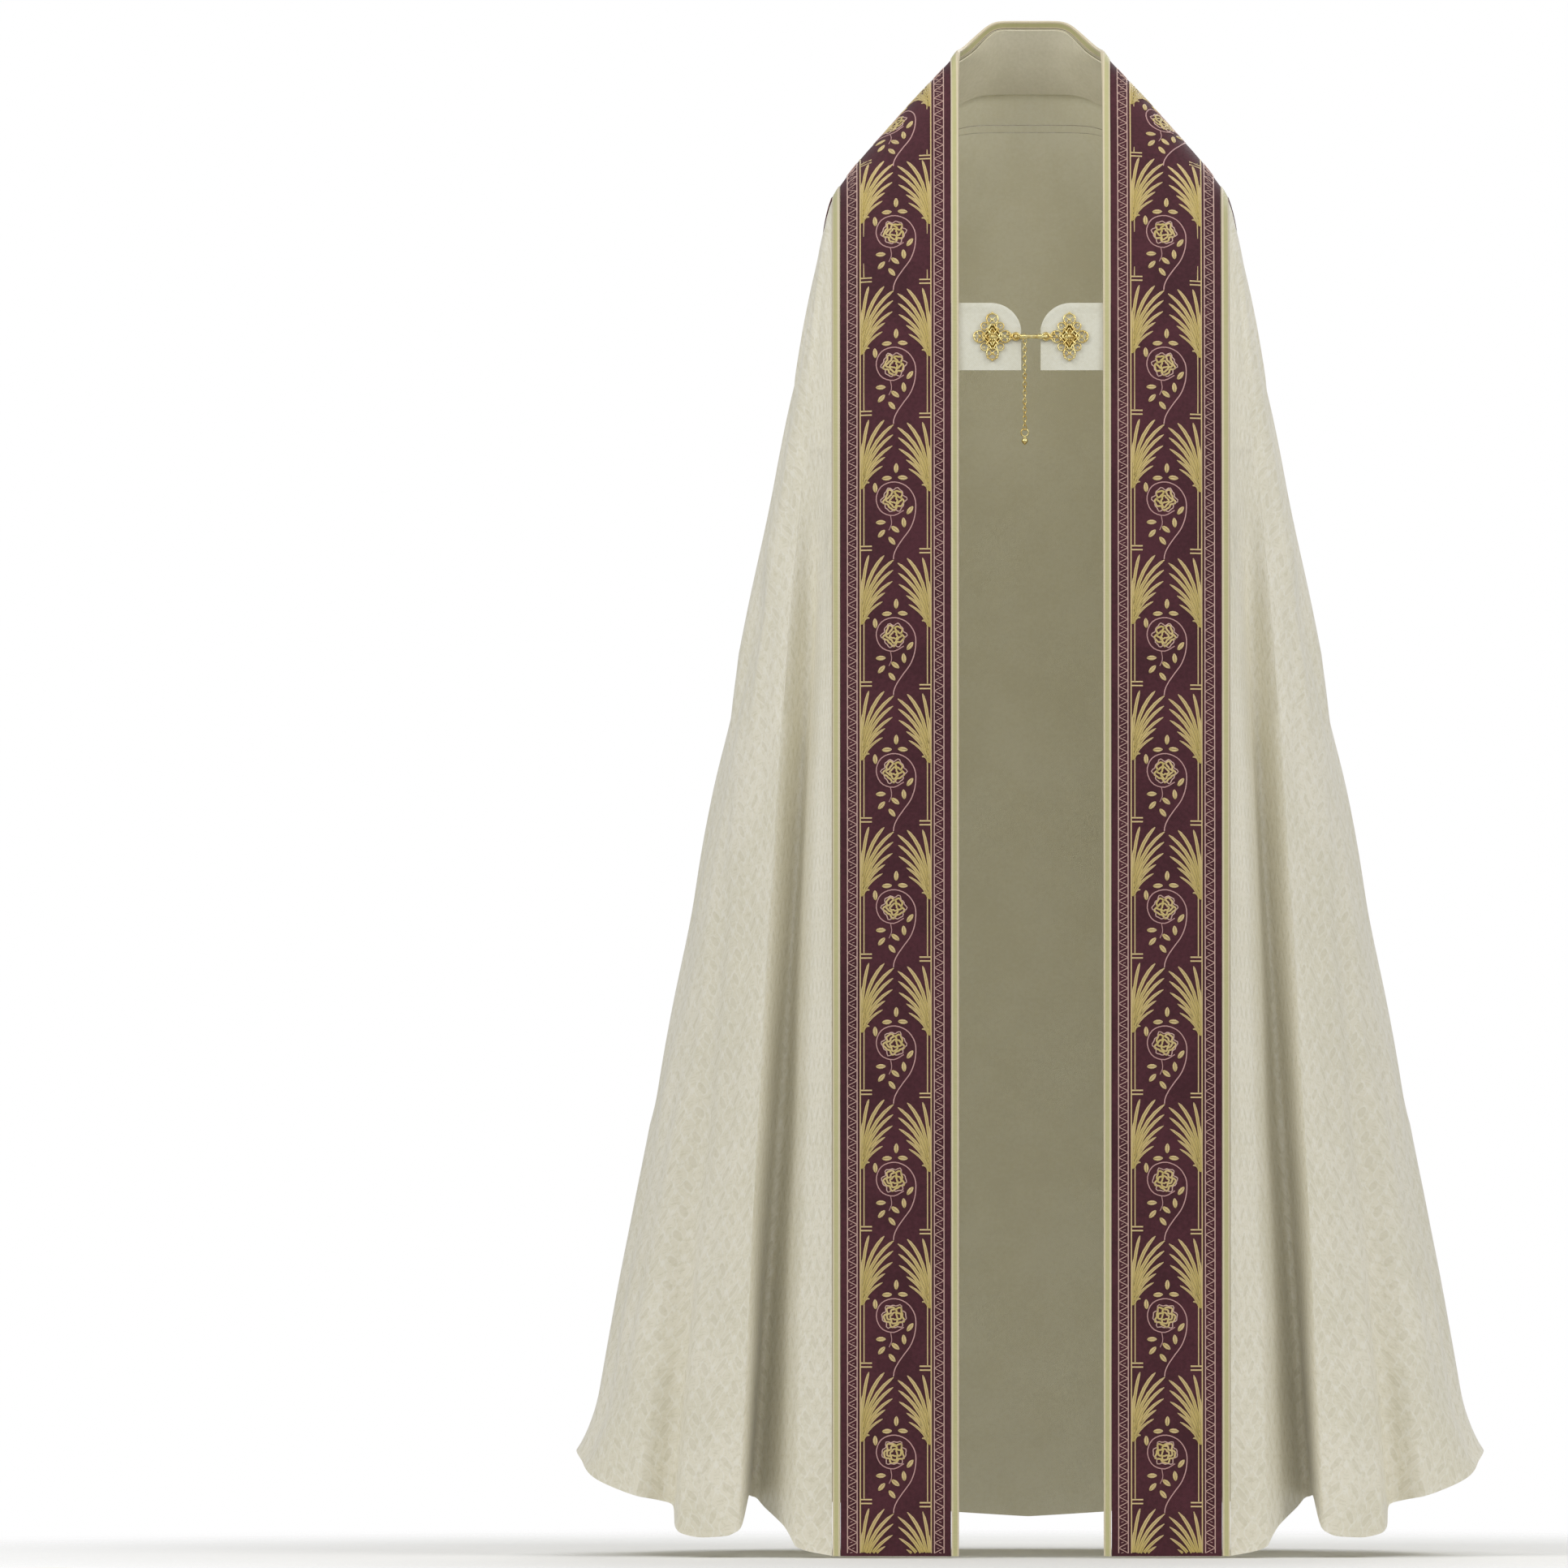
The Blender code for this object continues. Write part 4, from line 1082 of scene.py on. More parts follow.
SECTION_ACROSS = np.array([-1.0, -0.55, 0.55, 1.0])
SECTION_UP = np.array([0.0, 1.0, 1.0, 0.0])


class Drawing:
    """Raised stitches on a flat plan: each point has its place across and along, and its lift."""

    def __init__(self):
        self.points = []
        self.faces = []
        self.plan = []
        self.tone = []
        self.count = 0

    def stroke(self, line, half, rise=0.00045, tone=(0.3, 0.3), closed=False):
        """Rounded strand along a line, with its half width all along or at each point."""
        line = np.asarray(line, float)
        count = len(line)
        half = np.broadcast_to(half, count)
        ahead = np.roll(line, -1, 0) - np.roll(line, 1, 0) if closed else np.gradient(line, axis=0)
        ahead = ahead / np.maximum(np.linalg.norm(ahead, axis=1, keepdims=True), 1e-9)
        side = np.stack([-ahead[:, 1], ahead[:, 0]], -1)
        flat = line[:, None] + side[:, None] * (half[:, None] * SECTION_ACROSS)[..., None]
        lift = rise * SECTION_UP * np.minimum(1, half / 0.0004)[:, None] ** 0.5 - 0.00005
        self.points.append(np.concatenate([flat, lift[..., None]], -1).reshape(-1, 3))
        run = lengths(line)[:, None]
        section = np.broadcast_arrays(half[:, None] * SECTION_ACROSS, run)
        self.plan.append(np.stack(section, -1).reshape(-1, 2))
        self.tone.append(np.repeat(np.linspace(*tone, count), 4))
        here = np.arange(count if closed else count - 1)
        after = (here + 1) % count
        quads = [
            np.stack([here * 4 + j, after * 4 + j, after * 4 + (j + 1) % 4, here * 4 + (j + 1) % 4], -1)
            for j in range(4)
        ]
        if not closed:
            quads.append(np.array([[0, 1, 2, 3]]))
            quads.append(np.array([[3, 2, 1, 0]]) + (count - 1) * 4)
        self.faces.append(np.concatenate(quads) + self.count)
        self.count += count * 4

    def halves(self, line, half, rise=0.0006, tone=(0.2, 1.0)):
        """Stroke in two halves with a fine groove between them, as satin stitch leaves."""
        line = np.asarray(line, float)
        half = np.broadcast_to(half, len(line))
        ahead = np.gradient(line, axis=0)
        ahead = ahead / np.maximum(np.linalg.norm(ahead, axis=1, keepdims=True), 1e-9)
        side = np.stack([-ahead[:, 1], ahead[:, 0]], -1)
        for sign in (-1, 1):
            self.stroke(line + side * (sign * half / 2)[:, None], half * 0.47, rise, tone)

    def lay(self, name, place, material):
        """The stitches as one piece on a surface, whose function gives the points from the plan."""
        points = np.concatenate(self.points)
        surface = place(points[:, 0], points[:, 1], points[:, 2])
        piece = set_mesh(
            name, surface, np.concatenate(self.faces), np.concatenate(self.plan), [material],
            tone=np.concatenate(self.tone), sharp=75,
        )


BLADE_SHARES = np.array([0.0, 0.18, 0.40, 0.60, 0.78, 0.92, 1.0])
BLADE_WIDTHS = np.array([0.60, 0.80, 0.96, 1.00, 0.92, 0.70, 0.20])
LEAF_SHARES = np.array([0.0, 0.15, 0.40, 0.65, 0.88, 1.0])
LEAF_WIDTHS = np.array([0.14, 0.66, 1.00, 0.94, 0.52, 0.10])


def bezier(start, bend, end, shares):
    t = np.asarray(shares)[:, None]
    return (1 - t) ** 2 * np.array(start) + 2 * t * (1 - t) * np.array(bend) + t**2 * np.array(end)


def circle(centre, radius, turn):
    return np.asarray(centre) + radius * np.stack([np.cos(turn), np.sin(turn)], -1)


def smooth_line(points, count):
    """Even points along a smooth curve through the given ones."""
    points = np.asarray(points, float)
    run = lengths(points)
    dense = np.linspace(0, run[-1], count * 4)
    slopes = np.gradient(points, run, axis=0)
    i = np.clip(np.searchsorted(run, dense) - 1, 0, len(run) - 2)
    step = (run[i + 1] - run[i])[:, None]
    t = ((dense - run[i]) / (run[i + 1] - run[i]))[:, None]
    curve = points[i] * (2 * t**3 - 3 * t**2 + 1) + points[i + 1] * (3 * t**2 - 2 * t**3)
    curve += slopes[i] * step * (t**3 - 2 * t**2 + t) + slopes[i + 1] * step * (t**3 - t**2)
    run = lengths(curve)
    return at_lengths(curve, run, np.linspace(0, run[-1], count))


def within(line, half, low, high):
    """The stretch of a line between two bounds along it, or nothing where it lies outside them.

    The upper bound is a function of the place across.
    """
    line = np.asarray(line, float)
    half = np.broadcast_to(half, len(line))
    if (line[:, 1] >= low).all() and (line[:, 1] <= high(line[:, 0])).all():
        return line, half
    run = lengths(line)
    fine = np.linspace(0, run[-1], 60)
    dense = at_lengths(line, run, fine)
    inside = np.flatnonzero((dense[:, 1] >= low) & (dense[:, 1] <= high(dense[:, 0])))
    if len(inside) < 4:
        return None
    fine = np.linspace(fine[inside[0]], fine[inside[-1]], len(line))
    return at_lengths(line, run, fine), np.interp(fine, run, half)


class Ornament:
    """The band's repeat, drawn in gold, rose gold and vine coloured thread between two bounds."""

    def __init__(self, low, high):
        self.gold = Drawing()
        self.rose = Drawing()
        self.vine = Drawing()
        self.low = low
        self.high = high if callable(high) else lambda x: high + 0 * x
        self.end = None if callable(high) else high

    def put(self, drawing, line, half, split=False, **look):
        kept = within(line, half, self.low, self.high)
        if kept is not None:
            (drawing.halves if split else drawing.stroke)(*kept, **look)

    def leaf(self, x, y, angle, turn=1, length=LEAF_LENGTH, drawing=None, tone=(0.5, 0.9)):
        heading = math.radians(angle)
        reach = np.array([turn * math.cos(heading), math.sin(heading)]) * length
        line = np.array([x, y]) + (LEAF_SHARES[:, None] - 0.5) * reach
        half = LEAF_WIDTHS * LEAF_WIDTH / 2 * length / LEAF_LENGTH
        self.put(drawing or self.gold, line, half, True, tone=tone)

    def rose_flower(self, x, y, radius=ROSE_RADIUS):
        """Rose of wavy rings one inside another, with a curl in the middle."""
        turn = np.linspace(0.5 * math.pi, 2.5 * math.pi, 41)
        for share, lobes, wave, phase, width in (
            (0.92, 6, 0.10, 0.3, 0.00055),
            (0.74, 5, 0.15, 1.1, 0.00095),
            (0.50, 4, 0.20, 0.2, 0.00095),
            (0.27, 3, 0.22, 0.9, 0.00085),
        ):
            uneven = 0.08 * np.cos((lobes + 4) * turn + 2 * phase + 900 * y)
            away = radius * share * (1 + wave * np.cos(lobes * turn + phase) + uneven)
            ring = np.stack([x + away * np.cos(turn), y + away * np.sin(turn)], -1)
            thread = self.rose if share > 0.9 else self.gold
            self.put(thread, ring, width, tone=(0.2, 0.7))

    def flower(self, y, turn=1, x=-0.0017, radius=ROSE_RADIUS, stretch=1.0, mirror_vine=False):
        """Rose in its curled vine, with its leaves. The part under the rose can be stretched down."""
        turn = -turn if mirror_vine else turn

        def down(b):
            return y + b if b > STRETCH_FROM else y + STRETCH_FROM + (b - STRETCH_FROM) * stretch

        self.rose_flower(turn * x, y, radius)
        vine = smooth_line([(turn * a, down(b)) for a, b in VINE], 44)
        self.put(self.vine, vine, 0.00055, tone=(0.3, 0.8))
        self.put(self.vine, smooth_line([(turn * a, y + b) for a, b in SPRIG], 6), 0.0004)
        for leaf in LEAVES:
            self.leaf(turn * leaf.x, down(leaf.y), leaf.angle, turn)

    def fans(self, y, turn=1):
        """Two palm fans that rise beside each other from their roots, level with the rose's top."""
        for side, drop in ((1, 0.0), (-1, FAN_DROP)):
            for blade in BLADES:
                line = bezier(
                    (blade.root_x, blade.root_y), (blade.bend_x, blade.bend_y), (blade.tip_x, blade.tip_y),
                    BLADE_SHARES,
                )
                line = line * np.array([side * turn, 1]) + np.array([0, y - drop])
                self.put(self.gold, line, BLADE_WIDTHS * blade.width, True, tone=(0.05, 0.95))

    def columns(self, y, foot, turn=1, top=0.013):
        """Column lines from the fans' roots down to their feet, which are two short bars each."""
        for side, drop in ((1, 0.0), (-1, FAN_DROP)):
            x = -COLUMN_LINE * side * turn
            line = np.array([(x, y + top - drop), (x, y - foot + 0.001 - drop)])
            self.put(self.gold, line, 0.00055, tone=(0.7, 0.7))
        self.feet(y - foot, turn)

    def feet(self, y, turn=1):
        """Two short bars at each side."""
        for side, drop in ((1, 0.0), (-1, FAN_DROP)):
            for step in (0.0, 0.0038):
                height = y - drop - step
                ends = [(-FIELD_LINE * side * turn, height), (-BAR_END * side * turn, height)]
                self.put(self.gold, np.array(ends), 0.00075, tone=(0.8, 0.8))

    def edges(self):
        """Lattice between two lines, and a gold line beside it, down both sides."""
        low, high = self.low, self.end
        near, far = EDGE_LINES
        along = np.linspace(low, high, int((high - low) / 0.0065))
        crosses = int((high - low) / CROSS_PITCH)
        pitch = (high - low) / crosses
        for sign in (-1, 1):
            for x in EDGE_LINES:
                self.rose.stroke(np.stack([sign * x + 0 * along, along], -1), 0.00050, tone=(0.6, 0.6))
            self.gold.stroke(np.stack([sign * FIELD_LINE + 0 * along, along], -1), 0.00062, tone=(0.75, 0.75))
            middle = (near + far) / 2
            for k in range(crosses):
                start = low + k * pitch
                turn = start + pitch / 2
                for half, line in (
                    (0.00042, [(near, start), (far, turn)]),
                    (0.00042, [(far, turn), (near, start + pitch)]),
                    (0.00030, [(middle, turn - 0.0007), (middle - 0.0022, turn)]),
                    (0.00030, [(middle, start + 0.0007), (middle + 0.0022, start)]),
                ):
                    self.rose.stroke(np.array(line) * np.array([sign, 1]), half)

    def lay(self, name, place):
        threads = (
            ("gold", self.gold, GOLD_THREAD),
            ("rose_gold", self.rose, PINK_THREAD),
            ("vine", self.vine, VINE_THREAD),
        )
        for colour, drawing, material in threads:
            drawing.lay(f"{name}_{colour}", place, material)


# Hood


def hood_cloth(name, node, reach, height, flat, share):
    """Piece of the hood between its edges, which stands off the back further down, as in the part."""
    reach, height = np.broadcast_arrays(reach, height)
    lift = hood_lift(height)
    ripple = 0.0005 * np.sin(reach * 39 + 0.6) * np.sin(height * 27 + reach * 8)
    outer = hood_point(reach, height, lift + ripple)
    inner = hood_point(reach, height, lift + ripple - CLOTH)
    plan = np.stack([reach, height], -1)
    piece = shell(name, outer, inner, plan, [BURGUNDY, LINING])
    cut = dict(flat=flat, held="hung", rests_on=["cloak_back"], area=flat[0] * flat[1] * share)
    cloth_of(piece, node, "burgundy_cloth", **cut)


def build_hood():
    """Pointed shield with a mitred border on four sides."""
    lower = HOOD_LOWER_BORDER * math.hypot(1, HOOD_SLOPE)
    inner = HOOD_HALF_WIDTH - HOOD_BORDER
    gap = SEAM_GAP / 2
    share = np.linspace(0, 1, 41)[:, None]
    reach = np.linspace(inner - gap, -inner + gap, 61)[None]
    top = hood_top(reach) - SEAM_GAP
    height = top + (hood_lower(reach) + lower + gap - top) * share
    hood_cloth("hood_middle", "hood_panel", reach, height, (0.307, 0.42), 0.90)
    reach = np.linspace(inner + gap, HOOD_HALF_WIDTH, 17)[None]
    mitre = hood_lower(inner) + lower
    mitre = mitre + (HOOD_CORNER - mitre) * (reach - inner) / HOOD_BORDER
    top = hood_top(reach) - SEAM_GAP
    height = top + (mitre + gap - top) * share
    for side, sign in (("right", 1), ("left", -1)):
        name = "hood_side_" + side
        hood_cloth(name, "hood_border_" + side, sign * reach, height, (HOOD_BORDER, 0.36), 0.90)
    across = np.linspace(0, 1, 15)[:, None]
    run = np.linspace(0, 1, 45)[None]
    reach_in = gap + (inner - gap) * run
    reach_out = gap + (HOOD_HALF_WIDTH - gap) * run
    reach = reach_in + (reach_out - reach_in) * across
    height_in = hood_lower(reach_in) + lower - gap
    height = height_in + (hood_lower(reach_out) - height_in) * across - gap * run
    for side, sign in (("right", 1), ("left", -1)):
        name = "hood_low_" + side
        hood_cloth(name, "hood_border_lower_" + side, sign * reach, height, (HOOD_LOWER_BORDER, 0.274), 0.82)


def shield_line(side_offset, low_offset):
    """Line round the hood inside its edges: down one side, to the middle of the point and up the other."""
    reach = HOOD_HALF_WIDTH - side_offset
    rise = low_offset * math.hypot(1, HOOD_SLOPE)
    top = float(hood_top(reach)) - 0.002
    corner = HOOD_TIP + rise + HOOD_SLOPE * reach
    down = np.stack([np.full(40, reach), np.linspace(top, corner, 40)], -1)
    slant = np.linspace(1, 0, 32)[1:, None] * np.array([reach, HOOD_SLOPE * reach])
    slant = slant + np.array([0, HOOD_TIP + rise])
    return np.concatenate([down, slant])


def hood_edges(drawn):
    """Lattice between two lines, and a gold line beside it, along the outer and inner edges."""
    outer = [(offset, offset) for offset in HOOD_LINES_OUT]
    inner = [(HOOD_BORDER - offset, HOOD_STITCHED - offset) for offset in HOOD_LINES_IN]
    for sign in (1, -1):
        mirror = np.array([sign, 1])
        for rows in (outer, inner):
            first = shield_line(*rows[0]) * mirror
            second = shield_line(*rows[1]) * mirror
            drawn.rose.stroke(first, 0.00045, tone=(0.6, 0.6))
            drawn.rose.stroke(second, 0.00045, tone=(0.6, 0.6))
            drawn.gold.stroke(shield_line(*rows[2]) * mirror, 0.00055, tone=(0.7, 0.7))
            for stretch in (slice(0, 40), slice(39, 71)):
                ends = [(line[stretch], lengths(line[stretch])) for line in (first, second)]
                count = max(3, int(ends[1][1][-1] / HOOD_CROSS_PITCH))
                for k in range(count):
                    near = [at_lengths(line, run, np.array([run[-1] * k / count])) for line, run in ends]
                    far = [at_lengths(line, run, np.array([run[-1] * (k + 1) / count])) for line, run in ends]
                    drawn.rose.stroke(np.concatenate([near[0], far[1]]), 0.00032)
                    drawn.rose.stroke(np.concatenate([near[1], far[0]]), 0.00032)


def under_the_neck(x):
    """Upper bound of a side border's motifs, in their own plan."""
    top = hood_top(HOOD_HALF_WIDTH - HOOD_BORDER / 2 - x * HOOD_SCALE)
    return (top - 0.0012 - HOOD_CORNER) / HOOD_SCALE


def side_motifs():
    """Roses, fans and columns of a side border, drawn at the bands' own size."""
    roses = [(height - HOOD_CORNER) / HOOD_SCALE for height in HOOD_ROSES]
    bars = [(height - HOOD_CORNER) / HOOD_SCALE for height in HOOD_BARS]
    drawn = Ornament(-0.010, under_the_neck)
    for y in roses:
        drawn.flower(y, stretch=SIDE_VINE)
        drawn.fans(y)
    for y in bars:
        drawn.columns(y, 0.0, top=0.062)
    drawn.fans((HOOD_LAST_FANS - HOOD_CORNER) / HOOD_SCALE)
    return drawn


def low_motifs():
    """Motifs of a lower border, along it from the hood's point."""
    drawn = Ornament(-0.010, 1.0)
    drawn.flower(LOW_ROSE / LOW_SCALE, -1, stretch=LOW_VINE, mirror_vine=True)
    drawn.fans(LOW_ROSE / LOW_SCALE, -1)
    drawn.feet(LOW_BARS / LOW_SCALE)
    drawn.flower(LOW_CORNER_ROSE / LOW_SCALE, stretch=CORNER_VINE, x=0.004)
    return drawn


def laid_on_border(drawing, target, place):
    """The strokes of one drawing, moved by place, as part of another."""
    for points in drawing.points:
        target.points.append(np.concatenate([place(points[:, :2]), points[:, 2:]], 1))
    target.faces += [faces + target.count for faces in drawing.faces]
    target.plan += drawing.plan
    target.tone += drawing.tone
    target.count += drawing.count


def side_border_place(sign):
    """From the motifs' own plan to a side border, whose roses stand down its middle."""
    def place(flat):
        reach = sign * (HOOD_HALF_WIDTH - HOOD_BORDER / 2 - flat[:, 0] * HOOD_SCALE)
        return np.stack([reach, HOOD_CORNER + flat[:, 1] * HOOD_SCALE], -1)
    return place


def low_border_place(sign):
    """From the motifs' own plan to a lower border, which runs from the point up to the corner."""
    size = math.hypot(1, HOOD_SLOPE)
    run = np.array([1.0, HOOD_SLOPE]) / size
    rise = np.array([-HOOD_SLOPE, 1.0]) / size

    def place(flat):
        along = flat[:, 1:] * LOW_SCALE * run
        across = (HOOD_STITCHED / 2 + flat[:, :1] * LOW_SCALE) * rise
        return (along + across + np.array([0, HOOD_TIP])) * np.array([sign, 1])
    return place


def hood_blossom(drawn, white, x, y, radius):
    """White blossom of eight petals with a gold heart, in a fine ring."""
    for k in range(8):
        angle = math.pi * (k + 0.5) / 4
        ray = np.array([math.cos(angle), math.sin(angle)])
        line = np.array([x, y]) + np.array([0.22, 0.45, 0.7, 0.9, 1.0])[:, None] * radius * ray
        white.halves(line, np.array([0.12, 0.26, 0.30, 0.18, 0.05]) * radius, tone=(0.2, 1.0))
    turn = np.linspace(0, 2 * math.pi, 25)[:-1]
    for share in (0.10, 0.24):
        drawn.bright.stroke(circle((x, y), share * radius, turn), 0.0009, 0.0008, closed=True)
    drawn.vine.stroke(circle((x, y), 1.32 * radius, turn), 0.00045, closed=True)


def hood_spray(drawn, x, y, angle, length):
    """Stem with three pairs of leaves and a bud, that grows outwards."""
    ray = np.array([math.cos(angle), math.sin(angle)])
    side = np.array([-ray[1], ray[0]])
    start = np.array([x, y])
    drawn.gold.stroke(start + np.linspace(0, 0.9, 8)[:, None] * length * ray, 0.0006, tone=(0.3, 0.8))
    for share, reach in ((0.18, 0.34), (0.42, 0.40), (0.66, 0.32)):
        for sign in (-1, 1):
            foot = start + share * length * ray
            bend = foot + (0.55 * side * sign + 0.05 * ray) * reach * length
            tip = foot + (0.85 * side * sign + 0.50 * ray) * reach * length
            line = bezier(foot, bend, tip, LEAF_SHARES)
            drawn.gold.halves(line, LEAF_WIDTHS * 0.105 * length, tone=(0.2, 0.95))
    line = start + (0.84 + 0.26 * LEAF_SHARES[:, None]) * length * ray
    drawn.bright.halves(line, LEAF_WIDTHS * 0.085 * length, tone=(0.2, 1.0))


def hood_medallion(drawn, white):
    """Plain cross in an oval ring with a wreath of sprays and blossoms round it."""
    centre = np.array([0.0, MEDAL_HEIGHT])
    turn = np.linspace(0, 2 * math.pi, 97)[:-1]

    def oval(share, angle):
        angle = np.asarray(angle, float)
        return centre + share * np.stack([MEDAL_WIDE * np.cos(angle), MEDAL_TALL * np.sin(angle)], -1)

    for share, half in ((1.0, 0.0009), (0.955, 0.0004), (0.845, 0.0009)):
        drawn.gold.stroke(oval(share, turn), half, 0.0007, tone=(0.6, 0.6), closed=True)
    for k in range(64):
        angle = 2 * math.pi * k / 64
        tip = oval(0.95, angle + 0.05)
        for foot, bend in ((0.0, 0.09), (0.1, -0.01)):
            line = bezier(oval(0.85, angle + foot), oval(0.90, angle + bend), tip, (0, 0.5, 1))
            drawn.gold.stroke(line, 0.00035, tone=(0.4, 0.8))
    arm_shares = np.array([0.10, 0.30, 0.55, 0.75, 0.90, 1.0])
    arm_widths = np.array([0.0030, 0.0036, 0.0044, 0.0062, 0.0090, 0.0078])
    for angle in (0, 0.5 * math.pi, math.pi, 1.5 * math.pi):
        ray = np.array([math.cos(angle), math.sin(angle)])
        drawn.bright.halves(centre + arm_shares[:, None] * MEDAL_CROSS * ray, arm_widths, 0.0010)
        tip = centre + 1.09 * MEDAL_CROSS * ray
        drawn.bright.stroke(circle(tip, 0.0030, turn[::4]), 0.0013, 0.0009, closed=True)
        ray = np.array([math.cos(angle + math.pi / 4), math.sin(angle + math.pi / 4)])
        line = centre + (0.16 + 0.34 * LEAF_SHARES[:, None]) * MEDAL_CROSS * ray
        drawn.bright.halves(line, LEAF_WIDTHS * 0.0036, 0.0009)
    drawn.rose_flower(centre[0], centre[1], 0.0085)
    for k in range(6):
        angle = math.pi * k / 3
        x, y = oval(1.42, angle)
        hood_blossom(drawn, white, x, y, 0.0125)
        for sign in (-1, 1):
            foot = oval(1.24, angle + sign * 0.21)
            bend = oval(1.72, angle + sign * 0.28)
            line = bezier(foot, bend, oval(1.70, angle + sign * 0.10), LEAF_SHARES)
            drawn.gold.halves(line, LEAF_WIDTHS * 0.0030, tone=(0.2, 0.9))
            arc = oval(1.12, np.linspace(angle + sign * 0.05, angle + sign * 0.48, 12))
            drawn.vine.stroke(arc, 0.0005)
        x, y = oval(1.06, angle + math.pi / 6)
        away = oval(1.8, angle + math.pi / 6) - oval(1.06, angle + math.pi / 6)
        hood_spray(drawn, x, y, math.atan2(away[1], away[0]), 0.056)


class HoodOrnament(Ornament):
    """Ornament with the brighter gold of the hood's middle beside its other threads."""

    def __init__(self):
        super().__init__(-1.0, 3.0)
        self.bright = Drawing()


def build_hood_ornament():
    drawn = HoodOrnament()
    white = Drawing()
    hood_edges(drawn)
    hood_medallion(drawn, white)
    sides = side_motifs()
    low = low_motifs()
    for sign in (1, -1):
        for motifs, place in ((sides, side_border_place(sign)), (low, low_border_place(sign))):
            for name in ("gold", "rose", "vine"):
                laid_on_border(getattr(motifs, name), getattr(drawn, name), place)
    for low_end, high_end in ((0.020, 0.030), (0.080, 0.092)):
        for x in (-0.0022, 0.0022):
            line = np.array([(x, HOOD_TIP + low_end), (x, HOOD_TIP + high_end)])
            drawn.gold.stroke(line, 0.0008, tone=(0.7, 0.7))

    def place(x, y, lift):
        return hood_point(x, y, hood_lift(y) + 0.0005 + lift)

    drawn.lay("hood_stitching", place)
    drawn.bright.lay("hood_stitching_bright", place, BRIGHT_THREAD)
    white.lay("hood_stitching_white", place, WHITE_THREAD)


def build_band_ornament():
    """The same way round on both bands, as the photograph shows them."""
    for side, mirror, turn in (("right", 1, 1), ("left", MIRROR_X, -1)):
        drawn = Ornament(0.003, STRIP_LENGTH - 0.002)
        drawn.edges()
        for y in ROSES:
            drawn.flower(y, turn)
            drawn.fans(y, turn)
            drawn.columns(y, 0.0456, turn)
        drawn.fans(ROSES[9] - PITCH, turn)

        def place(x, y, lift, mirror=mirror):
            return strip_point(y, STRIP / 2 + x, lift) * mirror

        drawn.lay("band_stitching_" + side, place)


# Clasp


def tube(points, radius, sides=8, closed=False):
    """Points and faces of a round wire along a line in space."""
    points = np.asarray(points, float)
    count = len(points)
    ahead = np.roll(points, -1, 0) - np.roll(points, 1, 0) if closed else np.gradient(points, axis=0)
    ahead = ahead / np.linalg.norm(ahead, axis=1, keepdims=True)
    guide = np.array([0.0, 1.0, 0.0]) if abs(ahead[:, 1]).max() < 0.9 else np.array([1.0, 0.0, 0.0])
    side = np.cross(ahead, guide)
    side /= np.linalg.norm(side, axis=1, keepdims=True)
    up = np.cross(side, ahead)
    turn = 2 * math.pi * np.arange(sides) / sides
    radius = np.broadcast_to(radius, count)
    ring = side[:, None] * np.cos(turn)[None, :, None] + up[:, None] * np.sin(turn)[None, :, None]
    verts = (points[:, None] + ring * radius[:, None, None]).reshape(-1, 3)
    faces = []
    for i in range(count if closed else count - 1):
        k = (i + 1) % count
        for j in range(sides):
            m = (j + 1) % sides
            faces.append([i * sides + j, i * sides + m, k * sides + m, k * sides + j])
    if not closed:
        for start in (0, (count - 1) * sides):
            for j in range(1, sides - 1):
                faces.append([start, start + j, start + j + 1, start + j + 1])
    return verts, faces


class Metalwork:
    """Wires, balls and plates gathered into one piece."""

    def __init__(self):
        self.bm = bmesh.new()

    def wire(self, points, radius, sides=8, closed=False):
        verts, faces = tube(points, radius, sides, closed)
        made = [self.bm.verts.new(v) for v in verts]
        for face in faces:
            corners = [made[k] for k in dict.fromkeys(face)]
            self.bm.faces.new(corners)

    def ball(self, centre, radius):
        made = bmesh.ops.create_icosphere(self.bm, subdivisions=2, radius=radius)
        bmesh.ops.translate(self.bm, verts=made["verts"], vec=Vector(np.ravel(centre)))

    def sheet(self, back, front):
        """Thin plate between two outlines that match point by point."""
        low = [self.bm.verts.new(v) for v in back]
        high = [self.bm.verts.new(v) for v in front]
        middle_low = self.bm.verts.new(np.mean(back, 0))
        middle_high = self.bm.verts.new(np.mean(front, 0))
        for k in range(len(low)):
            i = (k + 1) % len(low)
            self.bm.faces.new([low[k], low[i], high[i], high[k]])
            self.bm.faces.new([middle_low, low[i], low[k]])
            self.bm.faces.new([middle_high, high[k], high[i]])

    def make(self, name, node, body):
        bmesh.ops.recalc_face_normals(self.bm, faces=self.bm.faces)
        mesh = bpy.data.meshes.new(name)
        self.bm.to_mesh(mesh)
        self.bm.free()
        mesh.materials.append(METAL)
        mesh.shade_smooth()
        obj = bpy.data.objects.new(name, mesh)
        bpy.context.scene.collection.objects.link(obj)
        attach(obj, body)
        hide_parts(node)


def tab_face(x, height):
    """Place along Y of the tabs' front, as in the part."""
    return front_y(x, height) + BINDING_THICK - BINDING_LIFT + TAB_CLEAR


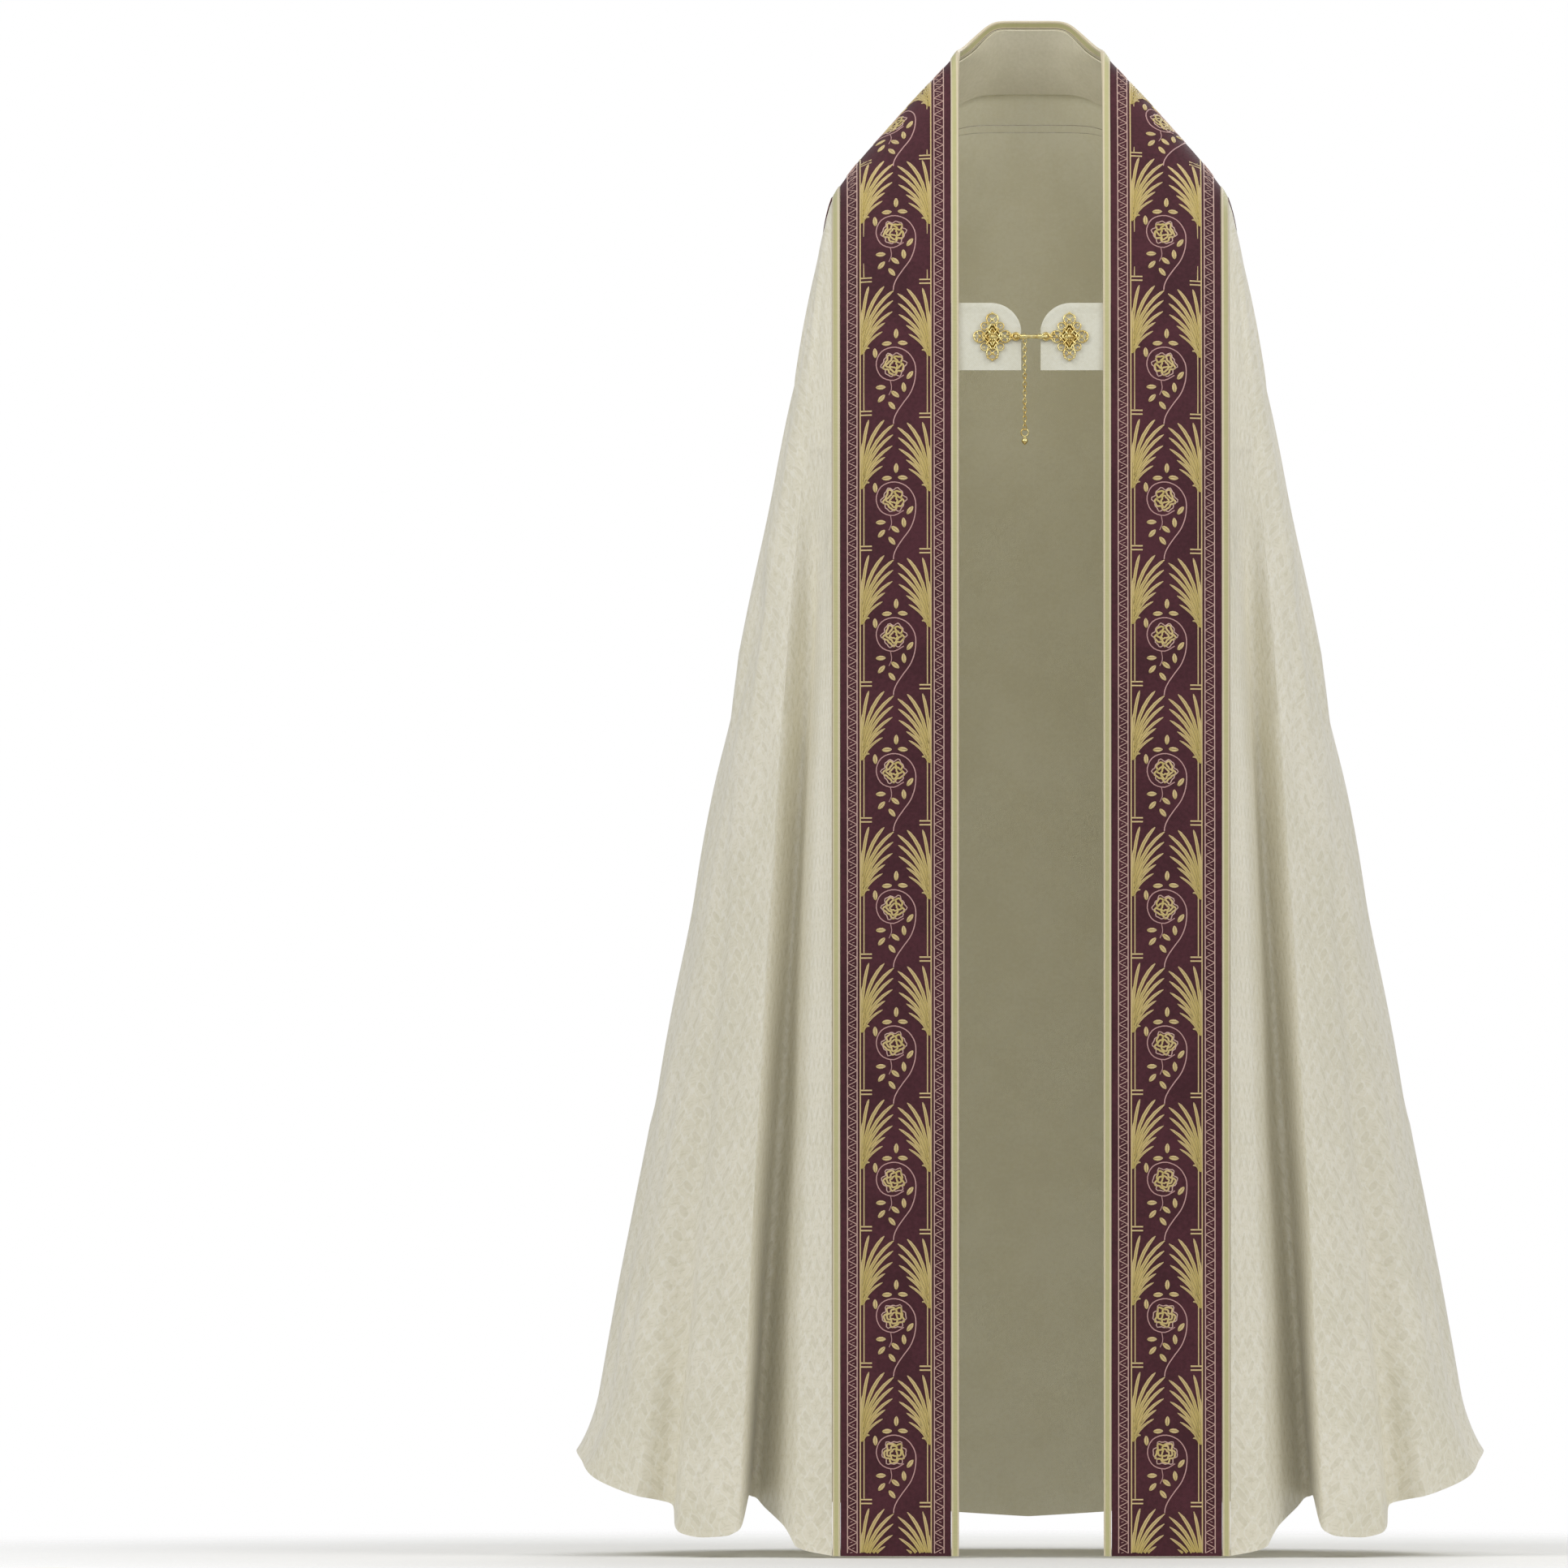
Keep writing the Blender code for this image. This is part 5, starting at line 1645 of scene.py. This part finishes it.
def build_tabs():
    """Cloth tabs with a round upper corner and a folded edge along the top."""
    rounded = np.linspace(TAB_INNER, TAB_INNER + TAB_CORNER, 22)
    x = np.concatenate([rounded, np.linspace(0.042, TAB_OUTER, 16)])[None]
    turn = np.clip(1 - (x - TAB_INNER) / TAB_CORNER, 0, 1)
    high = TAB_HIGH - TAB_CORNER * (1 - np.sqrt(1 - TAB_CORNER_SHARE * turn**2))
    share = np.linspace(0, 1, 25)[:, None]
    height = high + (TAB_LOW - high) * share
    x = x + 0 * height
    puff = 0.0011 * np.sin(math.pi * np.clip(share / 0.12, 0, 1)) + 0 * x
    puff = puff + 0.0004 * np.sin(math.pi * share) * np.sin(x * 90)
    front = np.stack([x, tab_face(np.maximum(x, FRONT_EDGE), height) - puff * 0.5, height], -1)
    back = np.stack([x, tab_face(np.maximum(x, FRONT_EDGE), height) + TAB_THICK, height], -1)
    plan = np.stack([x, height], -1)
    flat = (TAB_OUTER - TAB_INNER, TAB_HIGH - TAB_LOW)
    area = flat[0] * flat[1] * 0.96
    for side, mirror in (("right", 1), ("left", MIRROR_X)):
        piece = shell("clasp_tab_cloth_" + side, front * mirror, back * mirror, plan, [TAB_CLOTH, TAB_CLOTH])
        cut = dict(flat=flat, held="stretched", rests_on=["front_band_" + side], area=area)
        cloth_of(piece, "clasp_tab_" + side, "ivory_brocade", **cut)


CIRCLE = np.linspace(0, 2 * math.pi, 25)[:-1]
LEAF_WIRE = np.array([0.0005, 0.0009, 0.0011, 0.0010, 0.0008, 0.0004])


class Plate:
    """Openwork of one plate, drawn by width and height from its middle and by lift off its tab."""

    def __init__(self, face, lean, sign):
        self.face = face - SEAM_GAP - 0.0003
        self.lean = lean
        self.sign = sign
        self.work = Metalwork()

    def place(self, x, z, lift):
        x = np.asarray(x, float)
        z = np.asarray(z, float)
        y = self.face - lift + z * self.lean + 0 * x
        return np.stack([self.sign * (PLATE_X + x), y, PLATE_Z - HOLD_HEIGHT + z + 0 * x], -1)

    def wire(self, x, z, lift, radius, sides=6, closed=False):
        self.work.wire(self.place(x, z, lift), radius, sides, closed)

    def loop(self, x, z, size, lift, radius, sides=6):
        self.wire(x + size * np.cos(CIRCLE), z + size * np.sin(CIRCLE), lift, radius, sides, True)

    def ball(self, x, z, lift, radius):
        self.work.ball(self.place(x, z, lift), radius)

    def outline(self, share):
        """Lobed outline of the plate, at a share of its size."""
        turn = np.linspace(0, 2 * math.pi, 73)[:-1]
        reach = share * (0.86 + 0.14 * np.cos(4 * turn) + 0.05 * np.cos(8 * turn))
        return PLATE_HALF_WIDE * reach * np.cos(turn), PLATE_HALF_TALL * reach * np.sin(turn)

    def corner(self, angle):
        """Loop, balls and two scrolls of one of the four corners."""
        ray = np.array([PLATE_HALF_WIDE * math.cos(angle), PLATE_HALF_TALL * math.sin(angle)])
        cross = np.array([-math.sin(angle), math.cos(angle)])
        self.loop(*(ray * 0.73), 0.0056, 0.0011, 0.00080)
        self.ball(*ray, 0.0016, 0.00125)
        self.ball(*(ray * 0.72), 0.0020, 0.00150)
        for curl in (-1, 1):
            spin = np.linspace(0, 1.6 * math.pi, 22)
            away = 0.0034 * (1 - 0.55 * spin / spin[-1])
            x, z = ray * 0.72 + cross * curl * 0.0040
            x = x + away * np.cos(angle + math.pi + curl * spin)
            z = z + away * np.sin(angle + math.pi + curl * spin)
            self.wire(x, z, 0.0016, 0.00050)
            self.ball(x[-1], z[-1], 0.0020, 0.00085)
            self.ball(*(ray * 0.90 + cross * curl * 0.0046), 0.0014, 0.00085)

    def notch(self, angle):
        """Small loop, ball and leaf between two corners."""
        ray = np.array([PLATE_HALF_WIDE * math.cos(angle), PLATE_HALF_TALL * math.sin(angle)])
        self.loop(*(ray * 0.62), 0.0036, 0.0012, 0.00065)
        self.ball(*(ray * 0.66), 0.0015, 0.00110)
        leaf = np.linspace(0.12, 0.52, 6)
        self.wire(leaf * ray[0], leaf * ray[1], 0.0021, LEAF_WIRE, 8)

    def draw(self):
        for share, lift, wire in ((0.52, 0.0013, 0.00070), (0.34, 0.0015, 0.0006)):
            self.wire(*self.outline(share), lift, wire, closed=True)
        x, z = self.outline(0.50)
        self.work.sheet(self.place(x, z, 0.0), self.place(x, z, 0.0006))
        for k in range(4):
            self.corner(math.pi * k / 2)
            self.notch(math.pi * k / 2 + math.pi / 4)
        self.ball(0, 0, 0.0022, 0.0019)
        for k in range(8):
            angle = math.pi * k / 4
            self.ball(0.0034 * math.cos(angle), 0.0034 * math.sin(angle), 0.0018, 0.00075)
        arm = np.linspace(-PLATE_HALF_WIDE * 0.8, NECK_REACH - PLATE_X, 6)
        for z in (-0.0021, 0.0021):
            self.wire(arm, np.full(6, z), 0.0010, 0.0009, 8)
        self.loop(NECK_REACH + 0.0022 - PLATE_X, 0, 0.0034, 0.0011, 0.0010, 8)


def build_plates(face, lean):
    """Gold openwork of wire loops and scrolls on a thin back plate."""
    for side, sign in (("right", 1), ("left", -1)):
        plate = Plate(face, lean, sign)
        plate.draw()
        plate.work.make("clasp_filigree_" + side, "clasp_plate_" + side, "cope")


def build_hook(bar_y):
    """Hook bar across the rings of the two plates, with its ends turned into balls."""
    work = Metalwork()
    z = PLATE_Z - HOLD_HEIGHT
    half = BAR_HALF_LENGTH - BAR_BALL
    line = np.stack([np.linspace(-half, half, 15), np.full(15, bar_y), np.full(15, z)], -1)
    middle = np.clip(1 - np.abs(np.linspace(-1, 1, 15)) / 0.72, 0, 1)
    work.wire(line, BAR_RADIUS + 0.0008 * np.minimum(1, middle * 4), 12)
    for sign in (-1, 1):
        work.ball((sign * half, bar_y, z), BAR_BALL)
        for x in (0.0098, 0.0078):
            ring = circle((bar_y, z), 0.0021, np.linspace(0, 2 * math.pi, 21)[:-1])
            work.wire(np.insert(ring, 0, sign * x, 1), 0.00080, 6, True)
    work.make("clasp_bar", "clasp_hook", "cope")


def build_chain(bar_y):
    """Chain of oval links, each turned across the one before, with its end ring and drop."""
    top = np.array([CHAIN_X, bar_y, PLATE_Z - HOLD_HEIGHT])
    turn = np.linspace(0, 2 * math.pi, 19)[:-1]
    chain = Metalwork()
    ring = np.stack([0 * turn, CHAIN_RING * np.cos(turn), CHAIN_RING * np.sin(turn)], -1)
    chain.wire(top + ring, 0.0006, 6, True)
    for k in range(CHAIN_LINKS):
        middle = -CHAIN_RING - (k + 0.5) * CHAIN_LINK
        wide = 0.00175 * np.cos(turn)
        tall = 0.00280 * np.sin(turn)
        heading = 0.35 + (math.pi / 2) * (k % 2)
        link = np.stack([wide * math.cos(heading), wide * math.sin(heading), middle + tall], -1)
        chain.wire(top + link, 0.00052, 6, True)
    chain.make("clasp_chain_links", "clasp_chain", "chain")
    drop = Metalwork()
    low = -CHAIN_RING - CHAIN_LINKS * CHAIN_LINK
    ring = np.stack([0.0036 * np.cos(turn), 0 * turn, low - 0.0032 + 0.0036 * np.sin(turn)], -1)
    drop.wire(top + ring, 0.00075, 6, True)
    share = np.linspace(0, 1, 16)
    body = np.stack([0 * share, 0 * share, low - 0.0062 - 0.0090 * share], -1)
    drop.wire(top + body, np.maximum(0.0030 * np.sin(math.pi * share**1.3), 0.0004), 14)
    drop.make("clasp_chain_drop", "clasp_drop", "chain")


def build_clasp():
    build_tabs()
    heights = np.array([PLATE_Z - PLATE_HALF_TALL, PLATE_Z, PLATE_Z + PLATE_HALF_TALL])
    low, face, high = tab_face(np.full(3, FRONT_EDGE), heights)
    build_plates(face, (high - low) / (2 * PLATE_HALF_TALL))
    bar_y = face - SEAM_GAP - PLATE_THICK - SEAM_GAP - BAR_BALL
    build_hook(bar_y)
    build_chain(bar_y)


# Camera, lights and floor


def build_camera():
    camera = bpy.data.cameras.new("camera")
    camera.sensor_width = SENSOR
    camera.lens = SENSOR * CAMERA_AWAY / FRAME_WIDE
    camera.clip_end = 100
    obj = bpy.data.objects.new("camera", camera)
    obj.location = (FRAME_CENTRE[0], FRAME_PLANE - CAMERA_AWAY, FRAME_CENTRE[1])
    obj.rotation_euler = (math.pi / 2, 0, 0)
    bpy.context.scene.collection.objects.link(obj)
    bpy.context.scene.camera = obj


def build_light(row):
    light = bpy.data.lights.new(row.name, "AREA")
    light.shape = "SQUARE"
    light.size = row.size
    light.energy = row.power
    light.color = row.colour
    obj = bpy.data.objects.new(row.name, light)
    obj.location = row.place
    obj.rotation_euler = (Vector(AIM) - Vector(row.place)).to_track_quat("-Z", "Y").to_euler()
    bpy.context.scene.collection.objects.link(obj)


def build_stage():
    world = bpy.data.worlds.new("studio")
    world.use_nodes = True
    background = world.node_tree.nodes["Background"]
    background.inputs[0].default_value = (1, 1, 1, 1)
    seen = world.node_tree.nodes.new("ShaderNodeLightPath")
    strength = world.node_tree.nodes.new("ShaderNodeMapRange")
    strength.inputs["To Min"].default_value = SURROUNDINGS
    strength.inputs["To Max"].default_value = 1.0
    world.node_tree.links.new(seen.outputs["Is Camera Ray"], strength.inputs["Value"])
    world.node_tree.links.new(strength.outputs[0], background.inputs[1])
    bpy.context.scene.world = world
    bpy.context.scene.view_settings.view_transform = "Standard"
    for row in LIGHTS:
        build_light(row)
    bpy.ops.mesh.primitive_circle_add(vertices=96, radius=FLOOR_RADIUS, fill_type="NGON", location=(0, 0, 0))
    floor = bpy.context.object
    floor.name = "floor"
    floor.location.z = -HOLD_HEIGHT - FLOOR_GAP
    floor.data.materials.append(floor_material())


build_camera()
build_stage()
build_mantle()
build_bands()
build_bindings()
build_facing()
build_band_ornament()
build_hood()
build_hood_ornament()
build_clasp()
